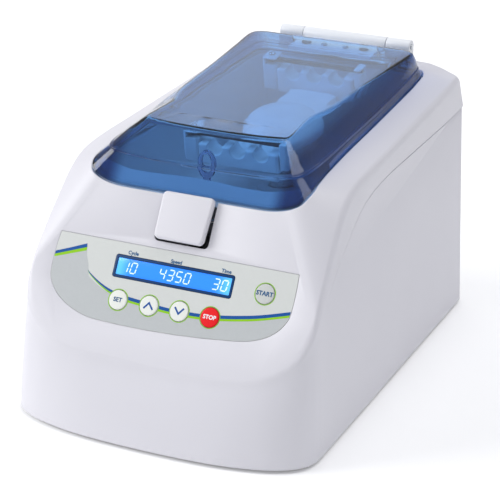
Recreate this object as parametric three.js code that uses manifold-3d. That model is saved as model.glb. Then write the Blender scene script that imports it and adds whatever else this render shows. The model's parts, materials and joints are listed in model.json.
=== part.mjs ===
// Six-position microtube homogenizer: housing, hinged lid, latch, controls, drive and tube carrier.
// Millimetres, +Z up, front towards -Y, origin under the middle of the bounding box.
import * as THREE from 'three';
import { mergeVertices, toCreasedNormals } from 'three/addons/utils/BufferGeometryUtils.js';
import Module from 'manifold-3d';

const wasm = await Module();
wasm.setup();

// Overall frame
const REAR_Y = 178.6; // rear face of the housing
const FOOT_H = 3; // lower edge of the housing above the table
const WALL = 3; // housing wall
const LID_WALL = 3; // lid wall
const GAP = 0.3; // static gap between neighbouring parts
const CREASE = 0.6; // edge angle kept sharp, rad

// Front panel plane: runs through PANEL_D, PANEL_H and leans back by PANEL_LEAN
const PANEL_D = 309; // distance forward of the rear face
const PANEL_H = 109; // height above the lower edge
const PANEL_LEAN = THREE.MathUtils.degToRad(30.2);
const OVERLAY_T = 0.8;
const OVERLAY_RECESS = 1.1;
const OVERLAY_TOP = 22.7;
const KEY_R = 7.1;
const KEY_CLEAR = 0.5;
const KEY_TRAVEL = 1.2;
const KEYS = [
  { name: 'set_button', x: -38.2, y: -18.8, colour: 0xe8ebe6 },
  { name: 'up_button', x: -13.1, y: -18.6, colour: 0xe8ebe6 },
  { name: 'down_button', x: 11.1, y: -18.4, colour: 0xe8ebe6 },
  { name: 'stop_button', x: 35.4, y: -18.4, colour: 0xe3161c },
  { name: 'start_button', x: 72.6, y: 5.2, colour: 0xb9bdba },
];
const DISPLAY_Y = 5.5; // centre of the display up the panel
const DISPLAY_W = 91.4;
const DISPLAY_HT = 12.8;
const BEZEL_EDGE = 1.8;

// Latch
const LATCH_W = 41;
const LATCH_LOW = 29.5; // lower edge up the panel
const LATCH_HIGH = 61.4;
const LATCH_T = 5.5;
const LATCH_WEDGE = THREE.MathUtils.degToRad(8); // lower edge stands proud
const LATCH_CLEAR = 1.7;
const LATCH_AXIS_Y = 50; // pivot up the panel
const LATCH_AXIS_IN = 9; // pivot behind the panel

// Lid hinge
const HINGE_D = 6;
const HINGE_H = 210.5;
const BARREL_R = 5.4;
const PIN_R = 2;
const LEAF_HALF = 36;
const KNUCKLE_IN = 36.6;
const KNUCKLE_OUT = 57;
const LID_CLEAR = 1.2; // lid edge inside the opening
const STRIKER_D = 250;
const STRIKER_H = 180;

// Drive and carrier
const DRIVE_D = 128; // shaft centre
const SHAFT_R = 8;
const MOTOR_R = 42;
const MOTOR_LOW = 12;
const MOTOR_TOP = 98;
const BRACKET_T = 4;
const POST_SPAN = 50;
const POST_R = 7;
const TUB_FLOOR = 126;
const TUB_T = 2.5;
const RIM_DROP = 5.2; // tub rim below the top surface
const RIM_T = 2;
const SEAL_R = 17;
const CARRIER_H = 186.6; // rack tops at the hub centre line
const CARRIER_TILT = THREE.MathUtils.degToRad(8);
const RACK_Y = 68; // racks from the hub centre
const RACK_HALF = 33;
const RACK_THICK = 16;
const RACK_TALL = 19;
const TUBE_R = 6.5;
const TUBE_PITCH = 19;
const BAR_T = 3.4;
const BAR_Z = 5; // bar above the rack tops
const PIVOT_X = -39.5;
const POST_TOP = 8.6; // bar post above the rack tops
const CLIP_T = 6;
const CLIP_X = RACK_HALF + GAP + CLIP_T / 2; // middle of the catch
const CLIP_TOP = 3; // catch above the bar's middle
const CLIP_DROP = 15; // catch below the rack tops

const HUB_R = 31;

// Base
const BASE_T = 3;
const FOOT_R = 11;

// Rear face
const INLET_X = -62;
const INLET_H = 36;
const SWITCH_X = -20;
const FLANGE_T = 1.5;
const FLANGE_OUT = 0.3; // flange seat proud of the nominal rear face
const VENT_COUNT = 7;
const VENT_W = 70;
const VENT_T = 3;
const VENT_PITCH = 7;
const VENT_LOW = 90;

// Loft steps
const HOUSING_PER_KEY = 2; // stations between control points
const LID_PER_KEY = 2;
const CREST_ROUND = 7; // rounding of the crest edge
const WALL_STEPS = 4;

// Closed control curves of the housing, rear middle to front middle: half width, distance forward of
// the rear face, height above the lower edge. Each is mirrored to the other side.
const OPENING = [
  [0, 16, 197.5], [58, 16, 197.5], [68, 17, 196.7], [73, 20.5, 196], [76, 28, 195], [77, 40, 194],
  [78.5, 60, 192.5], [81, 120, 188.3], [83, 185, 184], [85, 226, 181], [87, 250, 178.7],
  [88, 260, 176.5], [87, 267, 173.8], [84, 272.5, 170], [79, 274.9, 167.3], [72, 276.2, 165],
  [62, 277.2, 163.4], [50, 277.4, 163], [36, 277.4, 163], [22, 277.4, 163], [0, 277.4, 163],
];
const CREST = [
  [0, 0, 199], [62, 0, 199], [77, 0, 197.3], [89.5, 0, 193], [97, 3, 191], [99.5, 14, 190.8],
  [101.8, 50, 187.5], [105, 115, 182.7], [107.6, 175, 179.4], [109.2, 215, 177.2], [110.2, 240, 173.5],
  [111, 257, 165], [112, 275, 148], [113.5, 293, 128], [114, 308, 110.5], [112.5, 316.7, 95.5],
  [107, 324, 83], [97, 329.8, 73], [80, 335.2, 63.8], [50, 337.4, 60], [0, 337.8, 59.3],
];
const SHOULDER = [
  [0, 0, 172], [66, 0, 171], [86, 0, 169], [97, 0.6, 168], [102, 4, 167.5], [103, 14, 167],
  [104.7, 50, 166.2], [107.2, 115, 166], [109.5, 175, 165.5], [111, 215, 161], [112.4, 240, 152],
  [113.4, 256, 143], [114.5, 274, 131], [115.6, 292.5, 117], [116, 309.5, 101], [114.2, 319, 88],
  [108.6, 326.3, 77], [98.2, 332, 68], [80.6, 337.4, 59], [50.3, 339.8, 55], [0, 340.2, 54],
];
const BASE = [
  [0, 0, 0], [70, 0, 0], [90, 0, 0], [101, 0, 0], [105.5, 3.5, 0], [106.3, 14, 0],
  [108, 50, 0], [111, 115, 0], [113.7, 175, 0], [115.5, 215, 0], [116.7, 240, 0],
  [117.5, 258, 0], [118.4, 278, 0], [119.3, 298, 0], [120, 314, 0], [119, 325, 0],
  [114, 334.4, 0], [104, 342.6, 0], [86, 350.2, 0], [52, 356.8, 0], [0, 359, 0],
];
const WALL_BULGE = [1, 1, 1, 1, 1, 1, 1, 1, 1, 1, 1, 1, 1.05, 1.1, 1.15, 1.2, 1.3, 1.35, 1.4, 1.4, 1.4];
const STEP_IN = [0, 0, 0, 0.3, 1, 1, 1, 1, 1, 1, 1, 0.7, 0.4, 0.2, 0, 0, 0, 0, 0, 0, 0];

// Width of the tub's ledge under the lid's edge, at the same stations
const LEDGE_IN = [
  3.4, 3.4, 3.4, 3.4, 3.4, 3.4, 3.4, 3.4, 3.4, 3.4, 3.4, 5, 8, 11, 13, 14, 14, 14, 14, 14, 14,
];

// Lid control curves on the same stations
const LID_FOLD = [
  [0, 20, 201.5], [57, 20, 201.5], [65.5, 21, 201.5], [70, 25, 201], [72.7, 31, 200.5], [74, 42, 199.5],
  [75.3, 60, 198], [77.5, 120, 193.6], [79, 178, 190], [79.8, 220, 187.5], [79.4, 244, 186.4],
  [77.8, 254, 186], [75, 259.5, 185.5], [71, 262, 185], [66, 262.8, 184.3], [60, 263.3, 183.8],
  [52, 263.7, 183.3], [42, 264, 182.9], [30, 264.2, 182.6], [18, 264.4, 182.4], [0, 264.5, 182.3],
];
const LID_CREST = [
  [0, 30, 215.8], [55, 30, 215.8], [63, 31, 215.8], [68.5, 34, 215.7], [70.5, 40, 215.4], [70.4, 50, 214.9],
  [69, 66, 214], [65, 120, 211.1], [62, 168, 208.5], [55.5, 196, 207], [56.5, 218, 205.8],
  [57.8, 232, 205.1], [57, 238.8, 204.7], [54, 240.2, 204.6], [49, 241.3, 204.5], [44, 242.3, 204.5],
  [38, 243.2, 204.4], [31, 244, 204.4], [23, 244.6, 204.4], [14, 245, 204.3], [0, 245.2, 204.3],
];
const LID_BULGE = [0.5, 0.5, 0.8, 1, 1, 1, 1, 1.5, 3.5, 5, 4, 2, 1, 1, 1, 1, 1, 1, 1, 1, 1];

const group = new THREE.Group();

// ---------- helpers ----------

function place(x, forward, height) {
  return new THREE.Vector3(x, REAR_Y - forward, FOOT_H + height);
}

function manifoldOf(geometry) {
  const bare = geometry.clone();
  bare.deleteAttribute('normal');
  bare.deleteAttribute('uv');
  const merged = mergeVertices(bare, 1e-4);
  const mesh = new wasm.Mesh({
    numProp: 3,
    vertProperties: new Float32Array(merged.attributes.position.array),
    triVerts: new Uint32Array(merged.index.array),
  });
  mesh.merge();
  return new wasm.Manifold(mesh);
}

function geometryOf(solid) {
  const mesh = solid.getMesh();
  const geometry = new THREE.BufferGeometry();
  geometry.setAttribute('position', new THREE.BufferAttribute(new Float32Array(mesh.vertProperties), 3));
  geometry.setIndex(new THREE.BufferAttribute(new Uint32Array(mesh.triVerts), 1));
  return toCreasedNormals(geometry, CREASE);
}

function cut(body, tools) {
  let solid = manifoldOf(body);
  for (const tool of tools) {
    solid = solid.subtract(manifoldOf(tool));
  }
  return geometryOf(solid);
}

function join(pieces) {
  let solid = manifoldOf(pieces[0]);
  for (const piece of pieces.slice(1)) {
    solid = solid.add(manifoldOf(piece));
  }
  return geometryOf(solid);
}

function material(colour, roughness, metalness) {
  return new THREE.MeshStandardMaterial({ color: colour, roughness, metalness });
}

function addPart(name, geometry, finish) {
  const mesh = new THREE.Mesh(geometry, finish());
  mesh.name = name;
  group.add(mesh);
}

const housingPlastic = () => material(0xe6e6ea, 0.42, 0);
const whitePlastic = () => material(0xe9ebee, 0.45, 0);
const bluePlastic = () => {
  const tint = material(0x4f7ec4, 0.12, 0);
  tint.transparent = true;
  tint.opacity = 0.55;
  return tint;
};
const darkPlastic = () => material(0x25272b, 0.5, 0);
const navyPlastic = () => material(0x0f3f6e, 0.35, 0);
const rubber = () => material(0x2a2b2d, 0.85, 0);
const paleSilicone = () => material(0xc4c9d0, 0.6, 0);
const steel = () => material(0xb9bcc0, 0.3, 1);
const darkSteel = () => material(0x4d5056, 0.4, 1);
const aluminium = () => material(0xc9ccd0, 0.4, 1);
const board = () => material(0x1f6b45, 0.5, 0);
const panelFilm = () => material(0xd2d6d3, 0.5, 0);
const displayGlass = () => material(0x3f8df5, 0.08, 0);
const paintedMotor = () => material(0x35383d, 0.5, 0.3);

function roundedRect(width, depth, radius) {
  const shape = new THREE.Shape();
  const w = width / 2;
  const d = depth / 2;
  shape.moveTo(-w + radius, -d);
  shape.lineTo(w - radius, -d);
  shape.absarc(w - radius, -d + radius, radius, -Math.PI / 2, 0);
  shape.lineTo(w, d - radius);
  shape.absarc(w - radius, d - radius, radius, 0, Math.PI / 2);
  shape.lineTo(-w + radius, d);
  shape.absarc(-w + radius, d - radius, radius, Math.PI / 2, Math.PI);
  shape.lineTo(-w, -d + radius);
  shape.absarc(-w + radius, -d + radius, radius, Math.PI, 1.5 * Math.PI);
  return shape;
}

// Plate with rounded corners and a chamfered rim, from z = low upwards
function block(width, depth, height, radius, low = 0, chamfer = 0, segments = 3) {
  const shape = roundedRect(width - 2 * chamfer, depth - 2 * chamfer, Math.max(radius - chamfer, 0.2));
  const geometry = new THREE.ExtrudeGeometry(shape, {
    depth: height - 2 * chamfer,
    bevelEnabled: chamfer > 0,
    bevelSize: chamfer,
    bevelThickness: chamfer,
    bevelSegments: 1,
    curveSegments: segments,
  });
  geometry.translate(0, 0, low + chamfer);
  return geometry;
}

function disc(radius, height, low = 0, segments = 24) {
  const geometry = new THREE.CylinderGeometry(radius, radius, height, segments);
  geometry.rotateX(Math.PI / 2);
  geometry.translate(0, 0, low + height / 2);
  return geometry;
}

function rodX(radius, from, to, segments = 24) {
  const geometry = new THREE.CylinderGeometry(radius, radius, to - from, segments);
  geometry.rotateZ(Math.PI / 2);
  geometry.translate((from + to) / 2, 0, 0);
  return geometry;
}

function rodY(radius, from, to, segments = 24) {
  const geometry = new THREE.CylinderGeometry(radius, radius, to - from, segments);
  geometry.translate(0, (from + to) / 2, 0);
  return geometry;
}

// Profile in the Y-Z plane, drawn as [y, z] points, extruded along X
function extrudeX(points, from, to) {
  const shape = new THREE.Shape(points.map(([y, z]) => new THREE.Vector2(y, z)));
  const geometry = new THREE.ExtrudeGeometry(shape, { depth: to - from, bevelEnabled: false });
  const turn = new THREE.Matrix4().set(0, 0, 1, from, 1, 0, 0, 0, 0, 1, 0, 0, 0, 0, 0, 1);
  geometry.applyMatrix4(turn);
  return geometry;
}

function lathe(points, segments = 24) {
  const geometry = new THREE.LatheGeometry(points.map(([r, z]) => new THREE.Vector2(r, z)), segments);
  geometry.rotateX(Math.PI / 2);
  return geometry;
}

function moved(geometry, x, y, z) {
  geometry.translate(x, y, z);
  return geometry;
}

// Panel frame: local X across, Y up the slope, Z out of the panel
function onPanel(geometry) {
  const up = new THREE.Vector3(0, Math.sin(PANEL_LEAN), Math.cos(PANEL_LEAN));
  const out = new THREE.Vector3(0, -Math.cos(PANEL_LEAN), Math.sin(PANEL_LEAN));
  const frame = new THREE.Matrix4().makeBasis(new THREE.Vector3(1, 0, 0), up, out);
  frame.setPosition(place(0, PANEL_D, PANEL_H));
  geometry.applyMatrix4(frame);
  return geometry;
}

// Carrier frame: origin at the rack tops over the hub, tipped forward
function onCarrier(geometry) {
  geometry.rotateX(CARRIER_TILT);
  const at = place(0, DRIVE_D, CARRIER_H);
  return moved(geometry, at.x, at.y, at.z);
}

// ---------- lofted shells ----------

function mirrored(keys) {
  const other = keys.slice(1, -1).reverse();
  return [...keys, ...other.map(([x, d, h]) => [-x, d, h])];
}

function loopOf(keys, perKey) {
  const points = mirrored(keys).map(([x, d, h]) => place(x, d, h));
  const curve = new THREE.CatmullRomCurve3(points, true, 'catmullrom', 0.5);
  const count = points.length * perKey;
  return Array.from({ length: count }, (_, i) => curve.getPoint(i / count));
}

function valuesOf(keys, perKey) {
  const all = [...keys, ...keys.slice(1, -1).reverse()];
  const count = all.length * perKey;
  return Array.from({ length: count }, (_, i) => {
    const at = i / perKey;
    const low = Math.floor(at);
    const next = all[(low + 1) % all.length];
    return THREE.MathUtils.lerp(all[low], next, at - low);
  });
}

function unit(from, to) {
  return to.clone().sub(from).normalize();
}

// Outward normals of a grid whose rows are stations and whose columns run down the outside
function gridNormals(rows) {
  const count = rows.length;
  return rows.map((row, i) => row.map((point, j) => {
    const before = rows[(i + count - 1) % count][j];
    const after = rows[(i + 1) % count][j];
    const along = after.clone().sub(before);
    const down = row[Math.min(j + 1, row.length - 1)].clone().sub(row[Math.max(j - 1, 0)]);
    return along.cross(down).normalize();
  }));
}

// Closed ring of sections, each a closed loop of points
function ringSolid(sections) {
  const count = sections.length;
  const size = sections[0].length;
  const positions = [];
  const index = [];
  for (const section of sections) {
    for (const point of section) {
      positions.push(point.x, point.y, point.z);
    }
  }
  for (let i = 0; i < count; i += 1) {
    const next = (i + 1) % count;
    for (let j = 0; j < size; j += 1) {
      const k = (j + 1) % size;
      const [a, b, c, d] = [i * size + j, next * size + j, next * size + k, i * size + k];
      index.push(a, b, c, a, c, d);
    }
  }
  return orientedGeometry(positions, index);
}

// Closed cap: outer and inner rows of the same length, the last column of each bridged side to side
function capSolid(outer, inner) {
  const count = outer.length;
  const size = outer[0].length;
  const positions = [];
  const index = [];
  for (const rows of [outer, inner]) {
    for (const row of rows) {
      for (const point of row) {
        positions.push(point.x, point.y, point.z);
      }
    }
  }
  const at = (side, i, j) => (side * count + ((i + count) % count)) * size + j;
  for (let i = 0; i < count; i += 1) {
    for (let j = 0; j < size - 1; j += 1) {
      const quad = [at(0, i, j), at(0, i + 1, j), at(0, i + 1, j + 1), at(0, i, j + 1)];
      index.push(quad[0], quad[1], quad[2], quad[0], quad[2], quad[3]);
      const back = [at(1, i, j), at(1, i + 1, j), at(1, i + 1, j + 1), at(1, i, j + 1)];
      index.push(back[0], back[2], back[1], back[0], back[3], back[2]);
    }
    index.push(at(0, i, 0), at(1, i + 1, 0), at(0, i + 1, 0));
    index.push(at(0, i, 0), at(1, i, 0), at(1, i + 1, 0));
  }
  const last = size - 1;
  for (let i = 0; i < count / 2; i += 1) {
    const [a, b] = [i, i + 1];
    const [c, d] = [count - b, count - a];
    const corners = [[a, b, c], [a, c, d]];
    const faces = corners.filter((f) => new Set(f.map((v) => (v + count) % count)).size === 3);
    for (const [p, q, r] of faces) {
      index.push(at(0, p, last), at(0, q, last), at(0, r, last));
      index.push(at(1, p, last), at(1, r, last), at(1, q, last));
    }
  }
  return orientedGeometry(positions, index);
}

function orientedGeometry(positions, index) {
  let volume = 0;
  const vertex = (i) => new THREE.Vector3(positions[3 * i], positions[3 * i + 1], positions[3 * i + 2]);
  for (let t = 0; t < index.length; t += 3) {
    volume += vertex(index[t]).dot(vertex(index[t + 1]).cross(vertex(index[t + 2])));
  }
  if (volume < 0) {
    index.reverse();
  }
  const geometry = new THREE.BufferGeometry();
  geometry.setAttribute('position', new THREE.Float32BufferAttribute(positions, 3));
  geometry.setIndex(index);
  return geometry;
}

// Rounded corner at b between a and c
function corner(a, b, c, radius, steps) {
  const reach = Math.min(radius, 0.45 * a.distanceTo(b), 0.45 * b.distanceTo(c));
  const start = b.clone().addScaledVector(unit(b, a), reach);
  const end = b.clone().addScaledVector(unit(b, c), reach);
  const curve = new THREE.QuadraticBezierCurve3(start, b, end);
  return curve.getPoints(steps);
}

// ---------- housing ----------

function housingSections() {
  const opening = loopOf(OPENING, HOUSING_PER_KEY);
  const crest = loopOf(CREST, HOUSING_PER_KEY);
  const shoulder = loopOf(SHOULDER, HOUSING_PER_KEY);
  const base = loopOf(BASE, HOUSING_PER_KEY);
  const bulge = valuesOf(WALL_BULGE, HOUSING_PER_KEY);
  const step = valuesOf(STEP_IN, HOUSING_PER_KEY);
  const middle = place(0, DRIVE_D, 0);
  const outer = opening.map((edge, i) => {
    const inward = middle.clone().sub(base[i]).setZ(0).normalize();
    const under = shoulder[i].clone().addScaledVector(inward, step[i]);
    under.z -= 0.5 + step[i];
    const row = [edge, ...corner(edge, crest[i], shoulder[i], CREST_ROUND, 2), shoulder[i], under];
    for (let s = 1; s <= WALL_STEPS; s += 1) {
      const high = 1 - s / WALL_STEPS;
      const point = base[i].clone().lerp(under, high ** bulge[i]);
      point.z = THREE.MathUtils.lerp(base[i].z, under.z, high);
      row.push(point);
    }
    return row;
  });
  const normals = gridNormals(outer);
  return outer.map((row, i) => {
    const inner = row.map((point, j) => point.clone().addScaledVector(normals[i][j], -WALL));
    inner[0].copy(edgeDown(opening[i], crest[i], normals[i][1]));
    inner[inner.length - 1].z = row[row.length - 1].z;
    return [...row, ...inner.reverse()];
  });
}

// Inner corner of the opening lip, square to the top surface
function edgeDown(edge, crest, normal) {
  return edge.clone().addScaledVector(normal, -WALL).addScaledVector(unit(edge, crest), 0.4);
}

// Outline of the panel film; grow moves every edge outwards
function overlayShape(grow) {
  const left = -96 - grow;
  const right = 94.4 + grow;
  const top = OVERLAY_TOP + grow;
  const shape = new THREE.Shape();
  shape.moveTo(left, top);
  shape.quadraticCurveTo(left - 2.4, 6, left - 1, -9);
  shape.bezierCurveTo(left + 2, -20 - grow, -80 - grow, -32 - grow, -56, -35.3 - grow);
  shape.quadraticCurveTo(0, -38 - grow, 58, -31 - grow);
  shape.bezierCurveTo(78, -28.5 - grow, 90 + grow, -21 - grow, right, -8);
  shape.quadraticCurveTo(right + 1.4, 5, right, top);
  shape.closePath();
  return shape;
}

function panelPlate(shape, low, high) {
  const depth = high - low;
  const geometry = new THREE.ExtrudeGeometry(shape, { depth, bevelEnabled: false, curveSegments: 6 });
  return moved(geometry, 0, 0, low);
}

function buildHousing() {
  const shell = ringSolid(housingSections());
  const recess = onPanel(panelPlate(overlayShape(GAP), -OVERLAY_RECESS, 4));
  const window = onPanel(moved(block(DISPLAY_W + 10, DISPLAY_HT + 8, 12, 2, -6), 0, DISPLAY_Y, 0));
  const keyCuts = KEYS.map((key) => onPanel(moved(disc(KEY_R + 1.6, 12, -6, 20), key.x, key.y, 0)));
  const latchTall = LATCH_HIGH - LATCH_LOW + 30;
  const latchCut = block(LATCH_W + 2 * LATCH_CLEAR, latchTall, 24, 3, -12);
  const latchY = LATCH_LOW - LATCH_CLEAR + latchTall / 2;
  onPanel(moved(latchCut, 0, latchY, 0));
  const inletCut = block(30, 24, 20, 1.5, -10).rotateX(Math.PI / 2);
  moved(inletCut, INLET_X, REAR_Y, FOOT_H + INLET_H);
  const switchCut = block(21, 27, 20, 1, -10).rotateX(Math.PI / 2);
  moved(switchCut, SWITCH_X, REAR_Y, FOOT_H + INLET_H);
  const vents = [];
  for (let i = 0; i < VENT_COUNT; i += 1) {
    const slot = block(VENT_W, 20, VENT_T, 1, -VENT_T / 2);
    vents.push(moved(slot, 0, REAR_Y, FOOT_H + VENT_LOW + i * VENT_PITCH));
  }
  return cut(shell, [recess, window, ...keyCuts, latchCut, inletCut, switchCut, ...vents]);
}

function basePlan(inset) {
  const rim = loopOf(BASE, 1);
  const middle = place(0, DRIVE_D, 0);
  return rim.map((point) => {
    const inward = middle.clone().sub(point).setZ(0).normalize();
    return point.clone().addScaledVector(inward, inset);
  });
}

function buildBase() {
  const plan = basePlan(WALL + 4);
  const shape = new THREE.Shape(plan.map((p) => new THREE.Vector2(p.x, p.y)));
  const geometry = new THREE.ExtrudeGeometry(shape, { depth: BASE_T, bevelEnabled: false });
  return moved(geometry, 0, 0, FOOT_H + 0.5);
}

function buildFoot(x, forward) {
  const profile = [[0, 0], [FOOT_R - 1, 0], [FOOT_R, 1], [FOOT_R - 0.6, FOOT_H + 0.2], [0, FOOT_H + 0.2]];
  const at = place(x, forward, 0);
  return moved(lathe(profile, 20), at.x, at.y, 0);
}

// ---------- tub ----------

function rimFrames(perKey) {
  const opening = loopOf(OPENING, perKey);
  const crest = loopOf(CREST, perKey);
  const rows = opening.map((edge, i) => [edge, edge.clone().lerp(crest[i], 0.3)]);
  const normals = gridNormals(rows);
  return opening.map((edge, i) => ({ edge, out: unit(edge, crest[i]), normal: normals[i][0] }));
}

function offsetFrom(frame, outward, drop) {
  return frame.edge.clone().addScaledVector(frame.out, outward).addScaledVector(frame.normal, -drop);
}

function buildTub() {
  const frames = rimFrames(1);
  const ledge = valuesOf(LEDGE_IN, 1);
  const middle = place(0, 140, 0);
  const floorZ = FOOT_H + TUB_FLOOR;
  const outer = frames.map((frame, i) => {
    const lip = offsetFrom(frame, 3, RIM_DROP + RIM_T);
    const root = offsetFrom(frame, -ledge[i], RIM_DROP + RIM_T);
    const inward = middle.clone().sub(root).setZ(0).normalize();
    const low = root.clone().addScaledVector(inward, 4);
    low.z = floorZ + 12 - TUB_T;
    const turn = low.clone().addScaledVector(inward, 4);
    turn.z = floorZ + 3 - TUB_T;
    const floor = low.clone().addScaledVector(inward, 13);
    floor.z = floorZ - TUB_T;
    return [lip, root, low, turn, floor];
  });
  const inner = frames.map((frame, i) => {
    const lip = offsetFrom(frame, 3, RIM_DROP);
    const root = offsetFrom(frame, -ledge[i] - TUB_T, RIM_DROP);
    const inward = middle.clone().sub(root).setZ(0).normalize();
    const low = root.clone().addScaledVector(inward, 4);
    low.z = floorZ + 12;
    const turn = low.clone().addScaledVector(inward, 3.4);
    turn.z = floorZ + 3;
    const floor = low.clone().addScaledVector(inward, 12);
    floor.z = floorZ;
    return [lip, root, low, turn, floor];
  });
  const hole = disc(SEAL_R + 0.3, 40, -20, 24);
  const at = place(0, DRIVE_D, TUB_FLOOR);
  return cut(capSolid(outer, inner), [moved(hole, at.x, at.y, at.z)]);
}

function buildSeal() {
  const at = place(0, DRIVE_D, TUB_FLOOR);
  const profile = [
    [SHAFT_R + 0.6, -TUB_T], [SEAL_R, -TUB_T], [SEAL_R, 1], [SEAL_R - 3, 3], [SHAFT_R + 1.4, 3],
    [SHAFT_R + 0.6, 1], [SHAFT_R + 0.6, -TUB_T],
  ];
  return moved(lathe(profile, 24), at.x, at.y, at.z);
}

function buildGasket() {
  const frames = rimFrames(1);
  const sections = frames.map((frame) => [
    offsetFrom(frame, -2.6, LID_WALL + 2 * GAP), offsetFrom(frame, -5, LID_WALL + 2 * GAP),
    offsetFrom(frame, -5, RIM_DROP - 3.4 * GAP), offsetFrom(frame, -2.6, RIM_DROP - 3.4 * GAP),
  ]);
  return ringSolid(sections);
}

// ---------- lid ----------

function buildLid() {
  const frames = rimFrames(LID_PER_KEY);
  const fold = loopOf(LID_FOLD, LID_PER_KEY);
  const crest = loopOf(LID_CREST, LID_PER_KEY);
  const bulge = valuesOf(LID_BULGE, LID_PER_KEY);
  const middle = place(0, 140, 0);
  const summit = place(0, 140, 210.2);
  const outer = frames.map((frame, i) => {
    const edge = offsetFrom(frame, -LID_CLEAR, 0);
    const outward = fold[i].clone().sub(middle).setZ(0).normalize();
    const side = fold[i].clone().lerp(crest[i], 0.5).addScaledVector(outward, bulge[i]);
    const inboard = crest[i].clone().lerp(summit, 0.2);
    return [edge, fold[i], side, ...corner(side, crest[i], inboard, 3, 2)];
  });
  const normals = gridNormals(outer);
  const inner = outer.map((row, i) => row.map((point, j) => {
    const inward = j === 0 ? frames[i].normal.clone().negate() : normals[i][j];
    const shifted = point.clone().addScaledVector(inward, LID_WALL);
    if (j === row.length - 1) {
      shifted.z = point.z - LID_WALL;
    }
    return shifted;
  }));
  const notch = block(2 * LEAF_HALF + 3, 40, 14, 1, -7);
  const at = place(0, HINGE_D + 3, HINGE_H - 3);
  moved(notch, at.x, at.y, at.z);
  return cut(capSolid(outer, inner), [notch]);
}

// Leaf: barrel round the pin and a plate under the rear of the lid
function buildLeaf() {
  const axis = place(0, HINGE_D, HINGE_H);
  const barrel = rodX(BARREL_R, -LEAF_HALF, LEAF_HALF, 20);
  const profile = [[-34, -6.8], [-8, -5.8], [-1, -4], [-1, 0], [-8, -3], [-34, -4]];
  const web = extrudeX(profile, -LEAF_HALF, LEAF_HALF);
  const solid = join([barrel, web]);
  const bore = rodX(PIN_R + 0.05, -LEAF_HALF - 2, LEAF_HALF + 2, 20);
  return moved(cut(solid, [bore]), axis.x, axis.y, axis.z);
}

function buildLeafScrew(x, radius) {
  const at = place(x, HINGE_D + 22, HINGE_H - 3.1);
  const head = lathe([[0, 0], [radius, 0], [radius, 1], [radius * 0.7, 1.9], [0, 1.9]], 16);
  const socket = disc(radius * 0.45, 2, 1.1, 6);
  return moved(cut(head, [socket]), at.x, at.y, at.z);
}

function buildKnuckle(side) {
  const axis = place(0, HINGE_D, HINGE_H);
  const from = side > 0 ? KNUCKLE_IN : -KNUCKLE_OUT;
  const to = side > 0 ? KNUCKLE_OUT : -KNUCKLE_IN;
  const barrel = rodX(BARREL_R, from, to, 20);
  const foot = extrudeX([[-5.2, -10.8], [5.2, -10.8], [5.2, 0], [-5.2, 0]], from, to);
  const bore = rodX(PIN_R + 0.05, -80, 80, 20);
  return moved(cut(join([barrel, foot]), [bore]), axis.x, axis.y, axis.z);
}

function buildPin() {
  const axis = place(0, HINGE_D, HINGE_H);
  return moved(rodX(PIN_R, -KNUCKLE_OUT - 0.8, KNUCKLE_OUT + 0.8, 20), axis.x, axis.y, axis.z);
}

function buildStriker() {
  const oval = new THREE.Shape();
  oval.absellipse(0, 0, 7, 10.5, 0, 2 * Math.PI);
  const eye = new THREE.Path();
  eye.absellipse(0, 1, 4.2, 7, 0, 2 * Math.PI, true);
  oval.holes.push(eye);
  const ring = new THREE.ExtrudeGeometry(oval, { depth: 3, bevelEnabled: false, curveSegments: 8 });
  const stem = moved(block(5, 14, 3, 1.2, 0), 0, -16, 0);
  const solid = join([ring, stem]);
  solid.rotateX(Math.PI / 2);
  const at = place(0, STRIKER_D, STRIKER_H);
  return moved(solid, at.x, at.y, at.z);
}

// ---------- latch and controls ----------

function buildLatch() {
  const tall = LATCH_HIGH - LATCH_LOW;
  const face = block(LATCH_W, tall, LATCH_T, 4, -1, 1.2, 4);
  face.rotateX(-LATCH_WEDGE);
  moved(face, 0, LATCH_LOW + tall / 2, 0);
  const arm = moved(block(20, 14, 15, 1.5, -13.5), 0, LATCH_AXIS_Y, 0);
  const bore = moved(rodX(1.7, -30, 30, 20), 0, LATCH_AXIS_Y, -LATCH_AXIS_IN);
  return onPanel(cut(join([face, arm]), [bore]));
}

function buildLatchPin() {
  return onPanel(moved(rodX(1.6, -27, 27, 20), 0, LATCH_AXIS_Y, -LATCH_AXIS_IN));
}

function buildOverlay() {
  const plate = panelPlate(overlayShape(0), -OVERLAY_T, 0);
  const edge = 2 * (BEZEL_EDGE + GAP);
  const opening = moved(block(DISPLAY_W + edge, DISPLAY_HT + edge, 6, 2, -3), 0, DISPLAY_Y, 0);
  const holes = KEYS.map((key) => moved(disc(KEY_R + KEY_CLEAR, 6, -3, 20), key.x, key.y, 0));
  return onPanel(cut(plate, [opening, ...holes]));
}

function buildBezel() {
  const frame = block(DISPLAY_W + 2 * BEZEL_EDGE, DISPLAY_HT + 2 * BEZEL_EDGE, 2.2, 1.8, -2);
  const hole = block(DISPLAY_W, DISPLAY_HT, 8, 1, -4);
  return onPanel(moved(cut(frame, [hole]), 0, DISPLAY_Y, 0));
}

function buildWindow() {
  return onPanel(moved(block(DISPLAY_W - 0.5, DISPLAY_HT - 0.5, 1.4, 0.8, -1.8), 0, DISPLAY_Y, 0));
}

function buildDisplayModule() {
  return onPanel(moved(block(DISPLAY_W + 8, DISPLAY_HT + 6, 5, 1, -8.5), 0, DISPLAY_Y, 0));
}

function buildButton(key) {
  const cap = lathe([[0, -3.4], [KEY_R, -3.4], [KEY_R, 0.5], [KEY_R - 0.6, 0.9], [0, 0.9]], 20);
  return onPanel(moved(cap, key.x, key.y, 0));
}

function buildKeyBoard() {
  const low = -KEY_TRAVEL - 3.4 - 3;
  return onPanel(moved(block(100, 18, 1.6, 1, low), -1, -19.5, 0));
}

// ---------- drive ----------

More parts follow.
